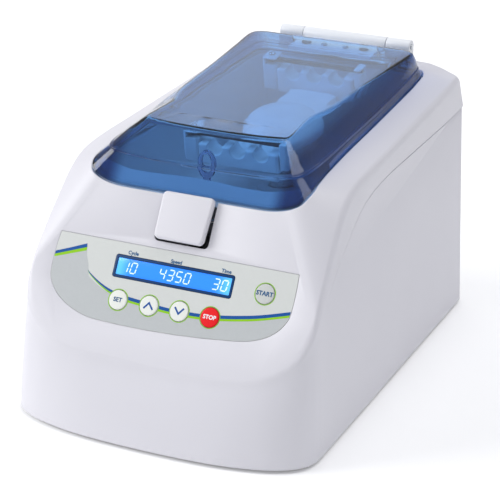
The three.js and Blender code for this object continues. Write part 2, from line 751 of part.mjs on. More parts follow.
function buildMotor() {
  const at = place(0, DRIVE_D, 0);
  const profile = [
    [SHAFT_R + 0.4, MOTOR_TOP], [SHAFT_R + 0.4, MOTOR_LOW + 10], [0, MOTOR_LOW + 10], [0, MOTOR_LOW],
    [MOTOR_R - 3, MOTOR_LOW], [MOTOR_R, MOTOR_LOW + 3], [MOTOR_R, MOTOR_TOP - 3], [MOTOR_R - 3, MOTOR_TOP],
    [SHAFT_R + 0.4, MOTOR_TOP],
  ];
  return moved(lathe(profile, 36), at.x, at.y, FOOT_H);
}

function buildBracket() {
  const at = place(0, DRIVE_D, MOTOR_TOP + GAP);
  const plate = block(2 * POST_SPAN + 20, 2 * POST_SPAN + 20, BRACKET_T, 6);
  const hole = disc(SHAFT_R + 3, 20, -10, 20);
  return moved(cut(plate, [hole]), at.x, at.y, at.z);
}

function buildPost(x, y) {
  const at = place(x, DRIVE_D - y, 0);
  const low = 0.5 + BASE_T + GAP;
  const top = MOTOR_TOP;
  return moved(disc(POST_R, top - low, low, 20), at.x, at.y, FOOT_H);
}

function buildShaft() {
  const at = place(0, DRIVE_D, 0);
  const low = MOTOR_LOW + 11;
  const top = CARRIER_H - 15;
  const profile = [[0, low], [SHAFT_R, low], [SHAFT_R, top - 1.5], [SHAFT_R - 1.5, top], [0, top]];
  return moved(lathe(profile, 20), at.x, at.y, FOOT_H);
}

function buildCounterweight() {
  const shape = new THREE.Shape();
  shape.absarc(0, 0, 32, 0.9 * Math.PI, 2.1 * Math.PI);
  shape.absarc(0, 0, 13, 0.1 * Math.PI, 0.9 * Math.PI);
  shape.closePath();
  const bore = new THREE.Path();
  bore.absarc(0, 0, SHAFT_R + GAP, 0, 2 * Math.PI, true);
  shape.holes.push(bore);
  const geometry = new THREE.ExtrudeGeometry(shape, { depth: 8, bevelEnabled: false, curveSegments: 8 });
  const at = place(0, DRIVE_D, MOTOR_TOP + BRACKET_T + 4);
  return moved(geometry, at.x, at.y, at.z);
}

// ---------- carrier ----------

function buildHub() {
  const profile = [
    [SHAFT_R + 6, -26], [22, -26], [HUB_R, -20], [HUB_R, -15], [24, -8], [13, -4.5], [0, -4], [0, -10],
    [SHAFT_R + 6, -10], [SHAFT_R + 6, -26],
  ];
  const dome = lathe(profile, 24);
  const arm = RACK_Y - RACK_THICK / 2 - GAP;
  const web = block(40, 2 * arm, 5, 3, -19);
  const hole = disc(SHAFT_R + 6.5, 30, -40, 24);
  const webCut = cut(web, [hole]);
  return onCarrier(join([dome, webCut]));
}

function buildRack(side) {
  const bar = block(2 * RACK_HALF, RACK_THICK, RACK_TALL, 2.5, -RACK_TALL, 1);
  const grooves = [];
  for (let i = -1; i <= 1; i += 1) {
    grooves.push(moved(rodY(TUBE_R, -20, 20, 24), i * TUBE_PITCH, 0, -1.5));
    grooves.push(moved(block(2 * TUBE_R - 1.2, 40, 12, 0.5, 0), i * TUBE_PITCH, 0, -1.5));
  }
  return onCarrier(moved(cut(bar, grooves), 0, side * RACK_Y, 0));
}

function buildBarPost(side) {
  const post = block(12, RACK_THICK - 2, RACK_TALL + POST_TOP, 2, -RACK_TALL, 0.8);
  const slot = moved(block(20, 40, BAR_T + 1, 0.2, -(BAR_T + 1) / 2), 6.5, 0, BAR_Z);
  const bore = disc(1.35, 40, -5, 16);
  const solid = cut(post, [slot, bore]);
  return onCarrier(moved(solid, PIVOT_X, side * RACK_Y, 0));
}

function buildBarPin(side) {
  const pin = lathe([[0, -4.5], [1.25, -4.5], [1.25, POST_TOP + 0.3], [2.6, POST_TOP + 0.3],
    [2.2, POST_TOP + 1.6], [0, POST_TOP + 2]], 16);
  return onCarrier(moved(pin, PIVOT_X, side * RACK_Y, 0));
}

function buildBar(side) {
  const length = CLIP_X + 2 - PIVOT_X;
  const tall = BAR_T - 0.6;
  const rod = moved(block(length, BAR_T, tall, 1, -tall / 2), length / 2, 0, 0);
  const eye = disc(3, tall, -tall / 2, 20);
  const bore = disc(1.4, 20, -10, 16);
  const solid = cut(join([rod, eye]), [bore]);
  return onCarrier(moved(solid, PIVOT_X, side * RACK_Y, BAR_Z));
}

// Fixed catch at the free end of the bar, open towards the hub so that the bar swings out of it
function buildClip(side) {
  const clip = block(CLIP_T, RACK_THICK - 3, BAR_Z + CLIP_TOP + CLIP_DROP, 1.5, -CLIP_DROP, 0.6);
  const slot = block(2 * CLIP_T, 20, BAR_T, 0.2, BAR_Z - BAR_T / 2);
  moved(slot, 0, -side * (10 - BAR_T / 2 - GAP), 0);
  const solid = cut(clip, [slot]);
  return onCarrier(moved(solid, CLIP_X, side * RACK_Y, 0));
}

// ---------- power and safety ----------

function buildInlet() {
  const flange = block(40, 31, FLANGE_T, 2, 0, 0.3);
  const body = block(28, 22, 22, 1.5, -22);
  const socket = block(22, 16, 18, 1, -16);
  const solid = cut(join([flange, body]), [socket]);
  solid.rotateX(-Math.PI / 2);
  solid.rotateY(Math.PI);
  return moved(solid, INLET_X, REAR_Y + FLANGE_OUT, FOOT_H + INLET_H);
}

function buildSwitchFrame() {
  const flange = block(24, 31, FLANGE_T, 2, 0, 0.3);
  const body = block(19.5, 25.5, 18, 1, -18);
  const pocket = block(15, 21, 30, 1, -12);
  const solid = cut(join([flange, body]), [pocket]);
  solid.rotateX(-Math.PI / 2);
  solid.rotateY(Math.PI);
  return moved(solid, SWITCH_X, REAR_Y + FLANGE_OUT, FOOT_H + INLET_H);
}

function buildRocker() {
  const profile = [[-9.5, 0], [-7, -4], [7, -4], [9.5, 0], [9, 2.6], [0, 1.2], [-9, 0.4]];
  const rocker = extrudeX(profile.map(([z, y]) => [y, z]), -6.9, 6.9);
  return moved(rocker, SWITCH_X, REAR_Y - 1.8, FOOT_H + INLET_H);
}

group.name = 'microtube_homogenizer';
addPart('main_housing', buildHousing(), housingPlastic);
addPart('base_plate', buildBase(), darkSteel);
const FEET = [[-85, 300], [85, 300], [-80, 40], [80, 40]];
const FOOT_NAMES = ['foot_front_left', 'foot_front_right', 'foot_rear_left', 'foot_rear_right'];
FEET.forEach(([x, forward], i) => addPart(FOOT_NAMES[i], buildFoot(x, forward), rubber));
addPart('chamber_tub', buildTub(), whitePlastic);
addPart('lid_gasket', buildGasket(), paleSilicone);
addPart('shaft_seal', buildSeal(), paleSilicone);
addPart('lid_cover', buildLid(), bluePlastic);
addPart('lid_hinge_leaf', buildLeaf(), whitePlastic);
addPart('leaf_screw_1', buildLeafScrew(-25, 4), darkSteel);
addPart('leaf_screw_2', buildLeafScrew(-9.2, 2.6), steel);
addPart('leaf_screw_3', buildLeafScrew(9.2, 2.6), steel);
addPart('leaf_screw_4', buildLeafScrew(25, 4), darkSteel);
addPart('lid_striker', buildStriker(), bluePlastic);
addPart('hinge_knuckle_left', buildKnuckle(-1), whitePlastic);
addPart('hinge_knuckle_right', buildKnuckle(1), whitePlastic);
addPart('hinge_pin', buildPin(), steel);
addPart('latch_tab', buildLatch(), housingPlastic);
addPart('latch_pin', buildLatchPin(), steel);
addPart('control_overlay', buildOverlay(), panelFilm);
addPart('display_bezel', buildBezel(), navyPlastic);
addPart('display_window', buildWindow(), displayGlass);
addPart('display_module', buildDisplayModule(), darkPlastic);
for (const key of KEYS) {
  addPart(key.name, buildButton(key), () => material(key.colour, 0.5, 0));
}
addPart('key_board', buildKeyBoard(), board);
addPart('motor_body', buildMotor(), paintedMotor);
addPart('motor_bracket', buildBracket(), aluminium);
addPart('isolation_post_1', buildPost(-POST_SPAN, -POST_SPAN), rubber);
addPart('isolation_post_2', buildPost(POST_SPAN, -POST_SPAN), rubber);
addPart('isolation_post_3', buildPost(-POST_SPAN, POST_SPAN), rubber);
addPart('isolation_post_4', buildPost(POST_SPAN, POST_SPAN), rubber);
addPart('drive_shaft', buildShaft(), steel);
addPart('counterweight', buildCounterweight(), darkSteel);
addPart('carrier_hub', buildHub(), whitePlastic);
addPart('front_rack', buildRack(-1), whitePlastic);
addPart('rear_rack', buildRack(1), whitePlastic);
addPart('front_bar_post', buildBarPost(-1), whitePlastic);
addPart('rear_bar_post', buildBarPost(1), whitePlastic);
addPart('front_bar_pin', buildBarPin(-1), steel);
addPart('rear_bar_pin', buildBarPin(1), steel);
addPart('front_retaining_bar', buildBar(-1), darkSteel);
addPart('rear_retaining_bar', buildBar(1), darkSteel);
addPart('front_bar_clip', buildClip(-1), whitePlastic);
addPart('rear_bar_clip', buildClip(1), whitePlastic);
addPart('power_inlet', buildInlet(), darkPlastic);
addPart('switch_frame', buildSwitchFrame(), darkPlastic);
addPart('power_rocker', buildRocker(), darkPlastic);

export default group;
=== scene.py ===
"""Looks of a six-position microtube homogenizer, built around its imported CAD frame.

Sizes are in millimetres until a piece is settled in the frame, which is in metres.
"""

import json
import logging
import math
from dataclasses import dataclass
from enum import Enum
from typing import Iterable, Sequence

import bmesh
import bpy
import numpy as np
from mathutils import Matrix, Vector

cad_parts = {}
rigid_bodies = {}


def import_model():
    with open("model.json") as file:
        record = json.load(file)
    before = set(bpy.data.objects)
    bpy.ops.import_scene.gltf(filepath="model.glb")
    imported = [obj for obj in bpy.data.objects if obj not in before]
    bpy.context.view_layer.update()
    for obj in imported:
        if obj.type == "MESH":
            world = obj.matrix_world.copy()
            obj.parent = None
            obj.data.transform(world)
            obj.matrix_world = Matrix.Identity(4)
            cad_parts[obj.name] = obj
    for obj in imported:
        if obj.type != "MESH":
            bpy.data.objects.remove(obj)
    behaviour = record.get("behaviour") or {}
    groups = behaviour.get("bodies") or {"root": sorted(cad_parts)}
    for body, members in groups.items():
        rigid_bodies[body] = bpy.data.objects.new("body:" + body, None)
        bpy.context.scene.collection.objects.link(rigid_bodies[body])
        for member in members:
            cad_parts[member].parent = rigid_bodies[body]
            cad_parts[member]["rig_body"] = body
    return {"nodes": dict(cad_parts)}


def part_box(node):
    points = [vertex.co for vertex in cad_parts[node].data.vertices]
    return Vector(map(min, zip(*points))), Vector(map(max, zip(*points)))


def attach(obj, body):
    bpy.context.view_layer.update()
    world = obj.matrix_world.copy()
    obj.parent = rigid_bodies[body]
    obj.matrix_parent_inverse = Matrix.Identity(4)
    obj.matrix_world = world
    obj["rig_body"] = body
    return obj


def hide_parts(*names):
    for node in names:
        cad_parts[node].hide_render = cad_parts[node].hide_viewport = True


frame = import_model()

LOG = logging.getLogger("homogenizer")
MM = 0.001
REAR_Y = 178.6
FOOT_H = 3.0
PANEL_D = 309.0
PANEL_H = 109.0
PANEL_LEAN = math.radians(30.2)
DRIVE_D = 128.0
CARRIER_H = 186.6
CARRIER_TILT = math.radians(8)
HINGE_D = 6.0
HINGE_H = 210.5
CHAMBER_D = 140
RACK_REACH = 68
KEY_R = 7.1
PANE_Y = 5.5
LATCH_PIVOT = (0, 50, -9)
FLAT_TURN = math.radians(1.0)
WELD = 2e-6
KEYS = {
    "set": (-38.2, -18.8),
    "up": (-13.1, -18.6),
    "down": (11.1, -18.4),
    "stop": (35.4, -18.4),
    "start": (72.6, 5.2),
}

# Control curves from rear middle to front middle: half width, distance forward, height; mirrored.
OPENING = [
    (0, 16, 197.5), (58, 16, 197.5), (68, 17, 196.7), (73, 20.5, 196), (76, 28, 195), (77, 40, 194),
    (78.5, 60, 192.5), (81, 120, 188.3), (83, 185, 184), (85, 226, 181), (87, 250, 178.7),
    (88, 260, 176.5), (87, 267, 173.8), (84, 272.5, 170), (79, 274.9, 167.3), (72, 276.2, 165),
    (62, 277.2, 163.4), (50, 277.4, 163), (36, 277.4, 163), (22, 277.4, 163), (0, 277.4, 163),
]
CREST = [
    (0, 0, 199), (62, 0, 199), (77, 0, 197.3), (89.5, 0, 193), (97, 3, 191), (99.5, 14, 190.8),
    (101.8, 50, 187.5), (105, 115, 182.7), (107.6, 175, 179.4), (109.2, 215, 177.2),
    (110.2, 240, 173.5), (111, 257, 165), (112, 275, 148), (113.5, 293, 128), (114, 308, 110.5),
    (112.5, 316.7, 95.5), (107, 324, 83), (97, 329.8, 73), (80, 335.2, 63.8), (50, 337.4, 60),
    (0, 337.8, 59.3),
]
SHOULDER = [
    (0, 0, 172), (66, 0, 171), (86, 0, 169), (97, 0.6, 168), (102, 4, 167.5), (103, 14, 167),
    (104.7, 50, 166.2), (107.2, 115, 166), (109.5, 175, 165.5), (111, 215, 161), (112.4, 240, 152),
    (113.4, 256, 143), (114.5, 274, 131), (115.6, 292.5, 117), (116, 309.5, 101), (114.2, 319, 88),
    (108.6, 326.3, 77), (98.2, 332, 68), (80.6, 337.4, 59), (50.3, 339.8, 55), (0, 340.2, 54),
]
BASE = [
    (0, 0, 0), (70, 0, 0), (90, 0, 0), (101, 0, 0), (105.5, 3.5, 0), (106.3, 14, 0), (108, 50, 0),
    (111, 115, 0), (113.7, 175, 0), (115.5, 215, 0), (116.7, 240, 0), (117.5, 258, 0),
    (118.4, 278, 0), (119.3, 298, 0), (120, 314, 0), (119, 325, 0), (114, 334.4, 0),
    (104, 342.6, 0), (86, 350.2, 0), (52, 356.8, 0), (0, 359, 0),
]
WALL_BULGE = [1.0] * 12 + [1.05, 1.1, 1.15, 1.2, 1.3, 1.35, 1.4, 1.4, 1.4]
STEP_IN = [0, 0, 0, 0.3, 1, 1, 1, 1, 1, 1, 1, 0.7, 0.4, 0.2, 0, 0, 0, 0, 0, 0, 0]
LEDGE_IN = [3.4] * 11 + [5, 8, 11, 13, 14, 14, 14, 14, 14, 14]
LID_FOLD = [
    (0, 20, 201.5), (57, 20, 201.5), (65.5, 21, 201.5), (70, 25, 201), (72.7, 31, 200.5),
    (74, 42, 199.5), (75.3, 60, 198), (77.5, 120, 193.6), (79, 178, 190), (79.8, 220, 187.5),
    (79.4, 244, 186.4), (77.8, 254, 186), (75, 259.5, 185.5), (71, 262, 185), (66, 262.8, 184.3),
    (60, 263.3, 183.8), (52, 263.7, 183.3), (42, 264, 182.9), (30, 264.2, 182.6),
    (18, 264.4, 182.4), (0, 264.5, 182.3),
]
LID_CREST = [
    (0, 30, 215.8), (55, 30, 215.8), (63, 31, 215.8), (68.5, 34, 215.7), (70.5, 40, 215.4),
    (70.4, 50, 214.9), (69, 66, 214), (65, 120, 211.1), (62, 168, 208.5), (55.5, 196, 207),
    (56.5, 218, 205.8), (57.8, 232, 205.1), (57, 238.8, 204.7), (54, 240.2, 204.6),
    (49, 241.3, 204.5), (44, 242.3, 204.5), (38, 243.2, 204.4), (31, 244, 204.4),
    (23, 244.6, 204.4), (14, 245, 204.3), (0, 245.2, 204.3),
]
LID_BULGE = [0.5, 0.5, 0.8, 1, 1, 1, 1, 1.5, 3.5, 5, 4, 2, 1, 1, 1, 1, 1, 1, 1, 1, 1]

# Upper edge of the printed stripe, from left to right across the panel.
STRIPE = [
    (-67.5, -1.5), (-65.3, -3.5), (-57.8, -7.8), (-49.4, -11.4), (-40, -13.9), (-31.4, -15.1),
    (-21.3, -16), (-4.9, -17.3), (8, -17.7), (27.6, -17.2), (41.9, -15.7), (58.5, -13),
    (74.6, -9.5), (97, -3),
]


class Cut(Enum):
    """What a second solid does to the first."""

    REMOVE = "DIFFERENCE"
    JOIN = "UNION"
    KEEP = "INTERSECT"


# ---------------------------------------------------------------- frames and shapes


def spot(x: float, forward: float, height: float) -> Matrix:
    """Returns the frame whose origin is at x, a distance forward of the rear face and a height."""
    return Matrix.Translation((x, REAR_Y - forward, FOOT_H + height))


def panel_frame() -> Matrix:
    """Returns the panel frame: X across, Y up the slope, Z out of the panel."""
    return spot(0, PANEL_D, PANEL_H) @ Matrix.Rotation(math.pi / 2 - PANEL_LEAN, 4, "X")


def carrier_frame() -> Matrix:
    """Returns the carrier frame: origin over the hub at the rack tops, tipped forward."""
    return spot(0, DRIVE_D, CARRIER_H) @ Matrix.Rotation(CARRIER_TILT, 4, "X")


@dataclass
class Shape:
    """A surface in millimetres.

    Args:
        points: one row of x, y, z for each corner.
        faces: corner numbers of each face.
    """

    points: np.ndarray
    faces: list[tuple[int, ...]]

    def placed(self, at: Matrix) -> "Shape":
        """Returns the shape carried into another frame."""
        turn = np.array(at)
        return Shape(self.points @ turn[:3, :3].T + turn[:3, 3], self.faces)

    def moved(self, x: float, y: float, z: float) -> "Shape":
        """Returns the shape shifted by x, y, z."""
        return Shape(self.points + np.array((x, y, z)), self.faces)

    def plus(self, other: "Shape") -> "Shape":
        """Returns both shapes side by side in one."""
        shift = len(self.points)
        faces = self.faces + [tuple(i + shift for i in face) for face in other.faces]
        return Shape(np.vstack((self.points, other.points)), faces)

    def mesh(self, name: str = "made") -> bpy.types.Mesh:
        """Returns a plain mesh with all faces turned outwards."""
        made = bpy.data.meshes.new(name)
        made.from_pydata([tuple(p) for p in self.points], [], self.faces)
        work = bmesh.new()
        work.from_mesh(made)
        bmesh.ops.remove_doubles(work, verts=work.verts, dist=1e-5)
        bmesh.ops.recalc_face_normals(work, faces=work.faces)
        if work.calc_volume(signed=True) < 0:
            bmesh.ops.reverse_faces(work, faces=work.faces)
        work.to_mesh(made)
        work.free()
        return made


def rounded_rect(width: float, depth: float, radius: float, steps: int = 8) -> np.ndarray:
    """Returns the outline of a rectangle with round corners, anticlockwise.

    Args:
        width: size along X.
        depth: size along Y.
        radius: corner radius.
        steps: points on each corner.

    Returns:
        Rows of x, y.
    """
    rows = []
    for quarter, (sx, sy) in enumerate(((1, 1), (-1, 1), (-1, -1), (1, -1))):
        centre = np.array((sx * (width / 2 - radius), sy * (depth / 2 - radius)))
        for step in range(steps + 1):
            angle = math.pi / 2 * (quarter + step / steps)
            rows.append(centre + radius * np.array((math.cos(angle), math.sin(angle))))
    return np.array(rows)


def circle(radius: float, steps: int = 64) -> np.ndarray:
    """Returns the outline of a circle, anticlockwise."""
    angle = np.arange(steps) * 2 * math.pi / steps
    return radius * np.column_stack((np.cos(angle), np.sin(angle)))


def inset(outline: np.ndarray, by: float) -> np.ndarray:
    """Returns an anticlockwise outline drawn in by a distance."""
    along = np.roll(outline, -1, 0) - np.roll(outline, 1, 0)
    along /= np.maximum(np.linalg.norm(along, axis=1, keepdims=True), 1e-9)
    return outline + by * np.column_stack((-along[:, 1], along[:, 0]))


def slab(
    outline: np.ndarray,
    low: float,
    high: float,
    edge: float = 0.0,
    foot: float = 0.0,
    steps: int = 4,
) -> Shape:
    """Raises an outline into a plate with rounded edges.

    Args:
        outline: rows of x, y, anticlockwise.
        low: height of the under face.
        high: height of the upper face.
        edge: radius of the upper edge.
        foot: radius of the lower edge.
        steps: bands in each rounding.

    Returns:
        A closed plate.
    """
    levels: list[tuple[float, float]] = []
    for i in range(steps + 1 if foot else 1):
        turn = math.pi / 2 * (1 - i / steps)
        levels.append((foot * (1 - math.cos(turn)), low + foot * (1 - math.sin(turn))))
    for i in range(steps + 1 if edge else 1):
        turn = math.pi / 2 * i / steps
        levels.append((edge * (1 - math.cos(turn)), high - edge * (1 - math.sin(turn))))
    count = len(outline)
    rings = [np.column_stack((inset(outline, by), np.full(count, z))) for by, z in levels]
    faces = band_faces(len(rings), count)
    faces.append(tuple(reversed(range(count))))
    faces.append(tuple((len(rings) - 1) * count + i for i in range(count)))
    return Shape(np.vstack(rings), faces)


def band_faces(rings: int, count: int, closed: bool = False) -> list[tuple[int, ...]]:
    """Returns the quads between rings of equal size; closed joins the last ring to the first."""
    faces = []
    for r in range(rings if closed else rings - 1):
        low, high = r * count, (r + 1) % rings * count
        for i in range(count):
            j = (i + 1) % count
            faces.append((low + i, low + j, high + j, high + i))
    return faces


def lathe(profile: Sequence[tuple[float, float]], segments: int = 72) -> Shape:
    """Turns a profile about Z.

    Args:
        profile: radius and height pairs; a closed one ends where it starts, others end on the axis.
        segments: facets round the axis.

    Returns:
        A closed solid of revolution.
    """
    closed = tuple(profile[0]) == tuple(profile[-1])
    rows = profile[:-1] if closed else profile
    ring = circle(1.0, segments)
    rings = [np.column_stack((ring * max(r, 1e-7), np.full(segments, z))) for r, z in rows]
    faces = band_faces(len(rings), segments, closed)
    return Shape(np.vstack(rings), faces)


def eased(
    profile: Sequence[tuple[float, float]], radius: float, steps: int = 4
) -> list[tuple[float, float]]:
    """Rounds the inner corners of an open profile.

    Args:
        profile: points of the profile.
        radius: how far each rounding reaches from its corner.
        steps: pieces in each rounding.

    Returns:
        The rounded profile.
    """
    rows = [np.array(p, float) for p in profile]
    out = [tuple(rows[0])]
    for a, b, c in zip(rows, rows[1:], rows[2:]):
        before, after = np.linalg.norm(a - b), np.linalg.norm(c - b)
        reach = min(radius, 0.45 * before, 0.45 * after)
        start, end = b + (a - b) / before * reach, b + (c - b) / after * reach
        for i in range(steps + 1):
            t = i / steps
            out.append(tuple((1 - t) ** 2 * start + 2 * t * (1 - t) * b + t * t * end))
    out.append(tuple(rows[-1]))
    return out


# ---------------------------------------------------------------- lofted walls


def stations(keys: Sequence[tuple[float, float, float]], per_key: int) -> np.ndarray:
    """Draws a closed smooth curve through mirrored control points.

    Args:
        keys: half width, distance forward and height from rear middle to front middle.
        per_key: points between two control points.

    Returns:
        Rows of x, y, z in the row frame, in millimetres.
    """
    half = np.array(keys, float)
    other = half[1:-1][::-1] * (-1, 1, 1)
    ring = np.vstack((half, other))
    p1 = np.column_stack((ring[:, 0], REAR_Y - ring[:, 1], FOOT_H + ring[:, 2]))[:, None, :]
    p0, p2, p3 = np.roll(p1, 1, 0), np.roll(p1, -1, 0), np.roll(p1, -2, 0)
    t = (np.arange(per_key) / per_key)[None, :, None]
    curve = p1 + 0.5 * t * (p2 - p0) + t**2 * (p0 - 2.5 * p1 + 2 * p2 - 0.5 * p3)
    curve = curve + t**3 * (1.5 * p1 - 0.5 * p0 - 1.5 * p2 + 0.5 * p3)
    return curve.reshape(-1, 3)


def station_values(keys: Sequence[float], per_key: int) -> np.ndarray:
    """Returns a value for each station, linear between the mirrored keys, as a column."""
    ring = np.array(list(keys) + list(keys[1:-1])[::-1], float)
    t = (np.arange(per_key) / per_key)[None, :]
    return (ring[:, None] * (1 - t) + np.roll(ring, -1)[:, None] * t).reshape(-1, 1)


def unit(rows: np.ndarray) -> np.ndarray:
    """Returns each row scaled to length one."""
    return rows / np.maximum(np.linalg.norm(rows, axis=-1, keepdims=True), 1e-9)


def bend(
    a: np.ndarray, b: np.ndarray, c: np.ndarray, radius: float, steps: int
) -> list[np.ndarray]:
    """Rounds the corner at b, station by station, and returns its columns of points."""
    reach = np.minimum(radius, 0.45 * np.linalg.norm(a - b, axis=1, keepdims=True))
    reach = np.minimum(reach, 0.45 * np.linalg.norm(c - b, axis=1, keepdims=True))
    start, end = b + unit(a - b) * reach, b + unit(c - b) * reach
    columns = []
    for i in range(steps + 1):
        t = i / steps
        columns.append((1 - t) ** 2 * start + 2 * t * (1 - t) * b + t * t * end)
    return columns


def grid_normals(columns: list[np.ndarray]) -> list[np.ndarray]:
    """Returns a normal for every point of a grid given as columns of stations."""
    normals = []
    for j, column in enumerate(columns):
        along = np.roll(column, -1, 0) - np.roll(column, 1, 0)
        down = columns[min(j + 1, len(columns) - 1)] - columns[max(j - 1, 0)]
        normals.append(unit(np.cross(along, down)))
    return normals


def towards(points: np.ndarray, x: float, forward: float) -> np.ndarray:
    """Returns level unit steps from each point towards a point given by x and distance forward."""
    step = np.array((x, REAR_Y - forward, 0.0)) - points
    step[:, 2] = 0
    return unit(step)


def ring_shape(columns: list[np.ndarray]) -> Shape:
    """Joins columns into a closed ring whose section is a closed loop."""
    return Shape(np.vstack(columns), band_faces(len(columns), len(columns[0]), closed=True))


def cap_shape(outer: list[np.ndarray], inner: list[np.ndarray], level: bool = False) -> Shape:
    """Joins an outer and an inner skin at their first columns and closes the last ones.

    Args:
        outer: columns of the outer skin, rim first.
        inner: columns of the inner skin, rim first.
        level: whether the last columns are level, so that one face closes each. If not, they
            are bridged.

    Returns:
        A closed dish.
    """
    count = len(outer[0])
    columns = list(reversed(inner)) + outer
    faces = band_faces(len(columns), count)
    for start in (0, (len(columns) - 1) * count):
        if level:
            faces.append(tuple(range(start, start + count)))
            continue
        for i in range(count // 2):
            corners = dict.fromkeys(start + k % count for k in (i, i + 1, count - i - 1, count - i))
            faces.append(tuple(corners))
    return Shape(np.vstack(columns), faces)


@dataclass(frozen=True)
class Rim:
    """Frames round the chamber opening: the edge, the way outwards over the top, and the normal.

    Args:
        per_key: stations between control points.
    """

    per_key: int

    def frames(self) -> tuple[np.ndarray, np.ndarray, np.ndarray]:
        """Returns the edge points, the outward steps and the surface normals."""
        edge, crest = stations(OPENING, self.per_key), stations(CREST, self.per_key)
        normals = grid_normals([edge, edge + 0.3 * (crest - edge)])[0]
        if normals[:, 2].mean() < 0:
            normals = -normals
        return edge, unit(crest - edge), normals

    def offset(self, outward: float | np.ndarray, drop: float) -> np.ndarray:
        """Returns the rim moved outward along the top and dropped under it."""
        edge, out, normal = self.frames()
        return edge + out * outward - normal * drop


# ---------------------------------------------------------------- objects


def evaluated_mesh(obj: bpy.types.Object) -> bpy.types.Mesh:
    """Returns a plain mesh of an object with its modifiers worked in, and drops the object."""
    bpy.context.view_layer.update()
    graph = bpy.context.evaluated_depsgraph_get()
    made = bpy.data.meshes.new_from_object(obj.evaluated_get(graph), depsgraph=graph)
    bpy.data.objects.remove(obj)
    return made


def scratch(mesh: bpy.types.Mesh, name: str = "scratch") -> bpy.types.Object:
    """Returns a new object in the scene that holds a mesh."""
    obj = bpy.data.objects.new(name, mesh)
    bpy.context.scene.collection.objects.link(obj)
    return obj


def worked(base: Shape, steps: Iterable[tuple[Cut, Shape]]) -> bpy.types.Mesh:
    """Cuts or joins solids.

    Args:
        base: the first solid.
        steps: what each further solid does, in order.

    Returns:
        The resulting mesh, in millimetres.
    """
    obj = scratch(base.mesh())
    tools = []
    for kind, shape in steps:
        tool = scratch(shape.mesh())
        tool.hide_render = True
        modifier = obj.modifiers.new("cut", "BOOLEAN")
        modifier.operation = kind.value
        modifier.solver = "MANIFOLD"
        modifier.object = tool
        tools.append(tool)
    made = evaluated_mesh(obj)
    for tool in tools:
        bpy.data.objects.remove(tool)
    return made


def bevelled(
    mesh: bpy.types.Mesh, width: float, angle: float = 38, segments: int = 3
) -> bpy.types.Mesh:
    """Rounds the sharp edges of a mesh.

    Args:
        mesh: the mesh, whose units the width shares.
        width: size of the rounding.
        angle: edges that turn by more than this many degrees are rounded.
        segments: bands in the rounding.

    Returns:
        The rounded mesh.
    """
    work = bmesh.new()
    work.from_mesh(mesh)
    bmesh.ops.dissolve_limit(
        work,
        angle_limit=FLAT_TURN,
        use_dissolve_boundaries=False,
        verts=work.verts,
        edges=work.edges,
    )
    work.to_mesh(mesh)
    work.free()
    obj = scratch(mesh)
    modifier = obj.modifiers.new("soft", "BEVEL")
    modifier.width = width
    modifier.segments = segments
    modifier.limit_method = "ANGLE"
    modifier.angle_limit = math.radians(angle)
    modifier.use_clamp_overlap = True
    return evaluated_mesh(obj)


def refined(node: str, width_mm: float, angle: float = 38) -> bpy.types.Mesh:
    """Returns a copy of a CAD node's mesh, merged and with its edges rounded, in metres."""
    mesh = frame["nodes"][node].data.copy()
    mesh.materials.clear()
    work = bmesh.new()
    work.from_mesh(mesh)
    bmesh.ops.remove_doubles(work, verts=work.verts, dist=WELD)
    work.to_mesh(mesh)
    work.free()
    for name in [layer.name for layer in mesh.uv_layers]:
        mesh.uv_layers.remove(mesh.uv_layers[name])
    if mesh.has_custom_normals:
        obj = scratch(mesh)
        with bpy.context.temp_override(object=obj, active_object=obj):
            bpy.ops.mesh.customdata_custom_splitnormals_clear()
        bpy.data.objects.remove(obj)
    return bevelled(mesh, width_mm * MM, angle) if width_mm else mesh


def settle(
    made: Shape | bpy.types.Mesh,
    name: str,
    body: str,
    finish: bpy.types.Material,
    at: Matrix | None = Matrix.Identity(4),
    stands_for: Sequence[str] = (),
    crease: float = 34,
) -> bpy.types.Object:
    """Puts a finished piece in the frame and on its body.

    Args:
        made: the shape or mesh, in millimetres unless at is None.
        name: the piece's name.
        body: the body it rides on.
        finish: its material.
        at: the frame it is drawn in, or None for a mesh already in metres.
        stands_for: CAD nodes that it replaces.
        crease: edges that turn by more than this many degrees stay sharp.

    Returns:
        The piece.
    """
    mesh = made.mesh(name) if isinstance(made, Shape) else made
    mesh.name = name
    if at is not None:
        mesh.transform(Matrix.Scale(MM, 4) @ at)
    mesh.materials.clear()
    mesh.materials.append(finish)
    for polygon in mesh.polygons:
        polygon.material_index = 0
    mesh.shade_smooth()
    mesh.set_sharp_from_angle(angle=math.radians(crease))
    obj = scratch(mesh, name)
    obj.name = name
    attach(obj, body)
    if stands_for:
        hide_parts(*stands_for)
    return obj


def follow(
    node: str, width_mm: float, name: str, body: str, finish: bpy.types.Material
) -> None:
    """Puts in a copy of a CAD solid with its edges rounded, in place of the solid itself."""
    settle(refined(node, width_mm), name, body, finish, None, [node])


# ---------------------------------------------------------------- finishes


def linear(code: str) -> tuple[float, float, float, float]:
    """Returns a linear colour for an sRGB hex code such as E6E6EA."""
    parts = [int(code[i : i + 2], 16) / 255 for i in (0, 2, 4)]
    lin = [p / 12.92 if p <= 0.04045 else ((p + 0.055) / 1.055) ** 2.4 for p in parts]
    return lin[0], lin[1], lin[2], 1.0


def per_mm(size: float) -> float:
    """Returns the texture scale whose features are about this many millimetres."""
    return 1 / (size * MM)


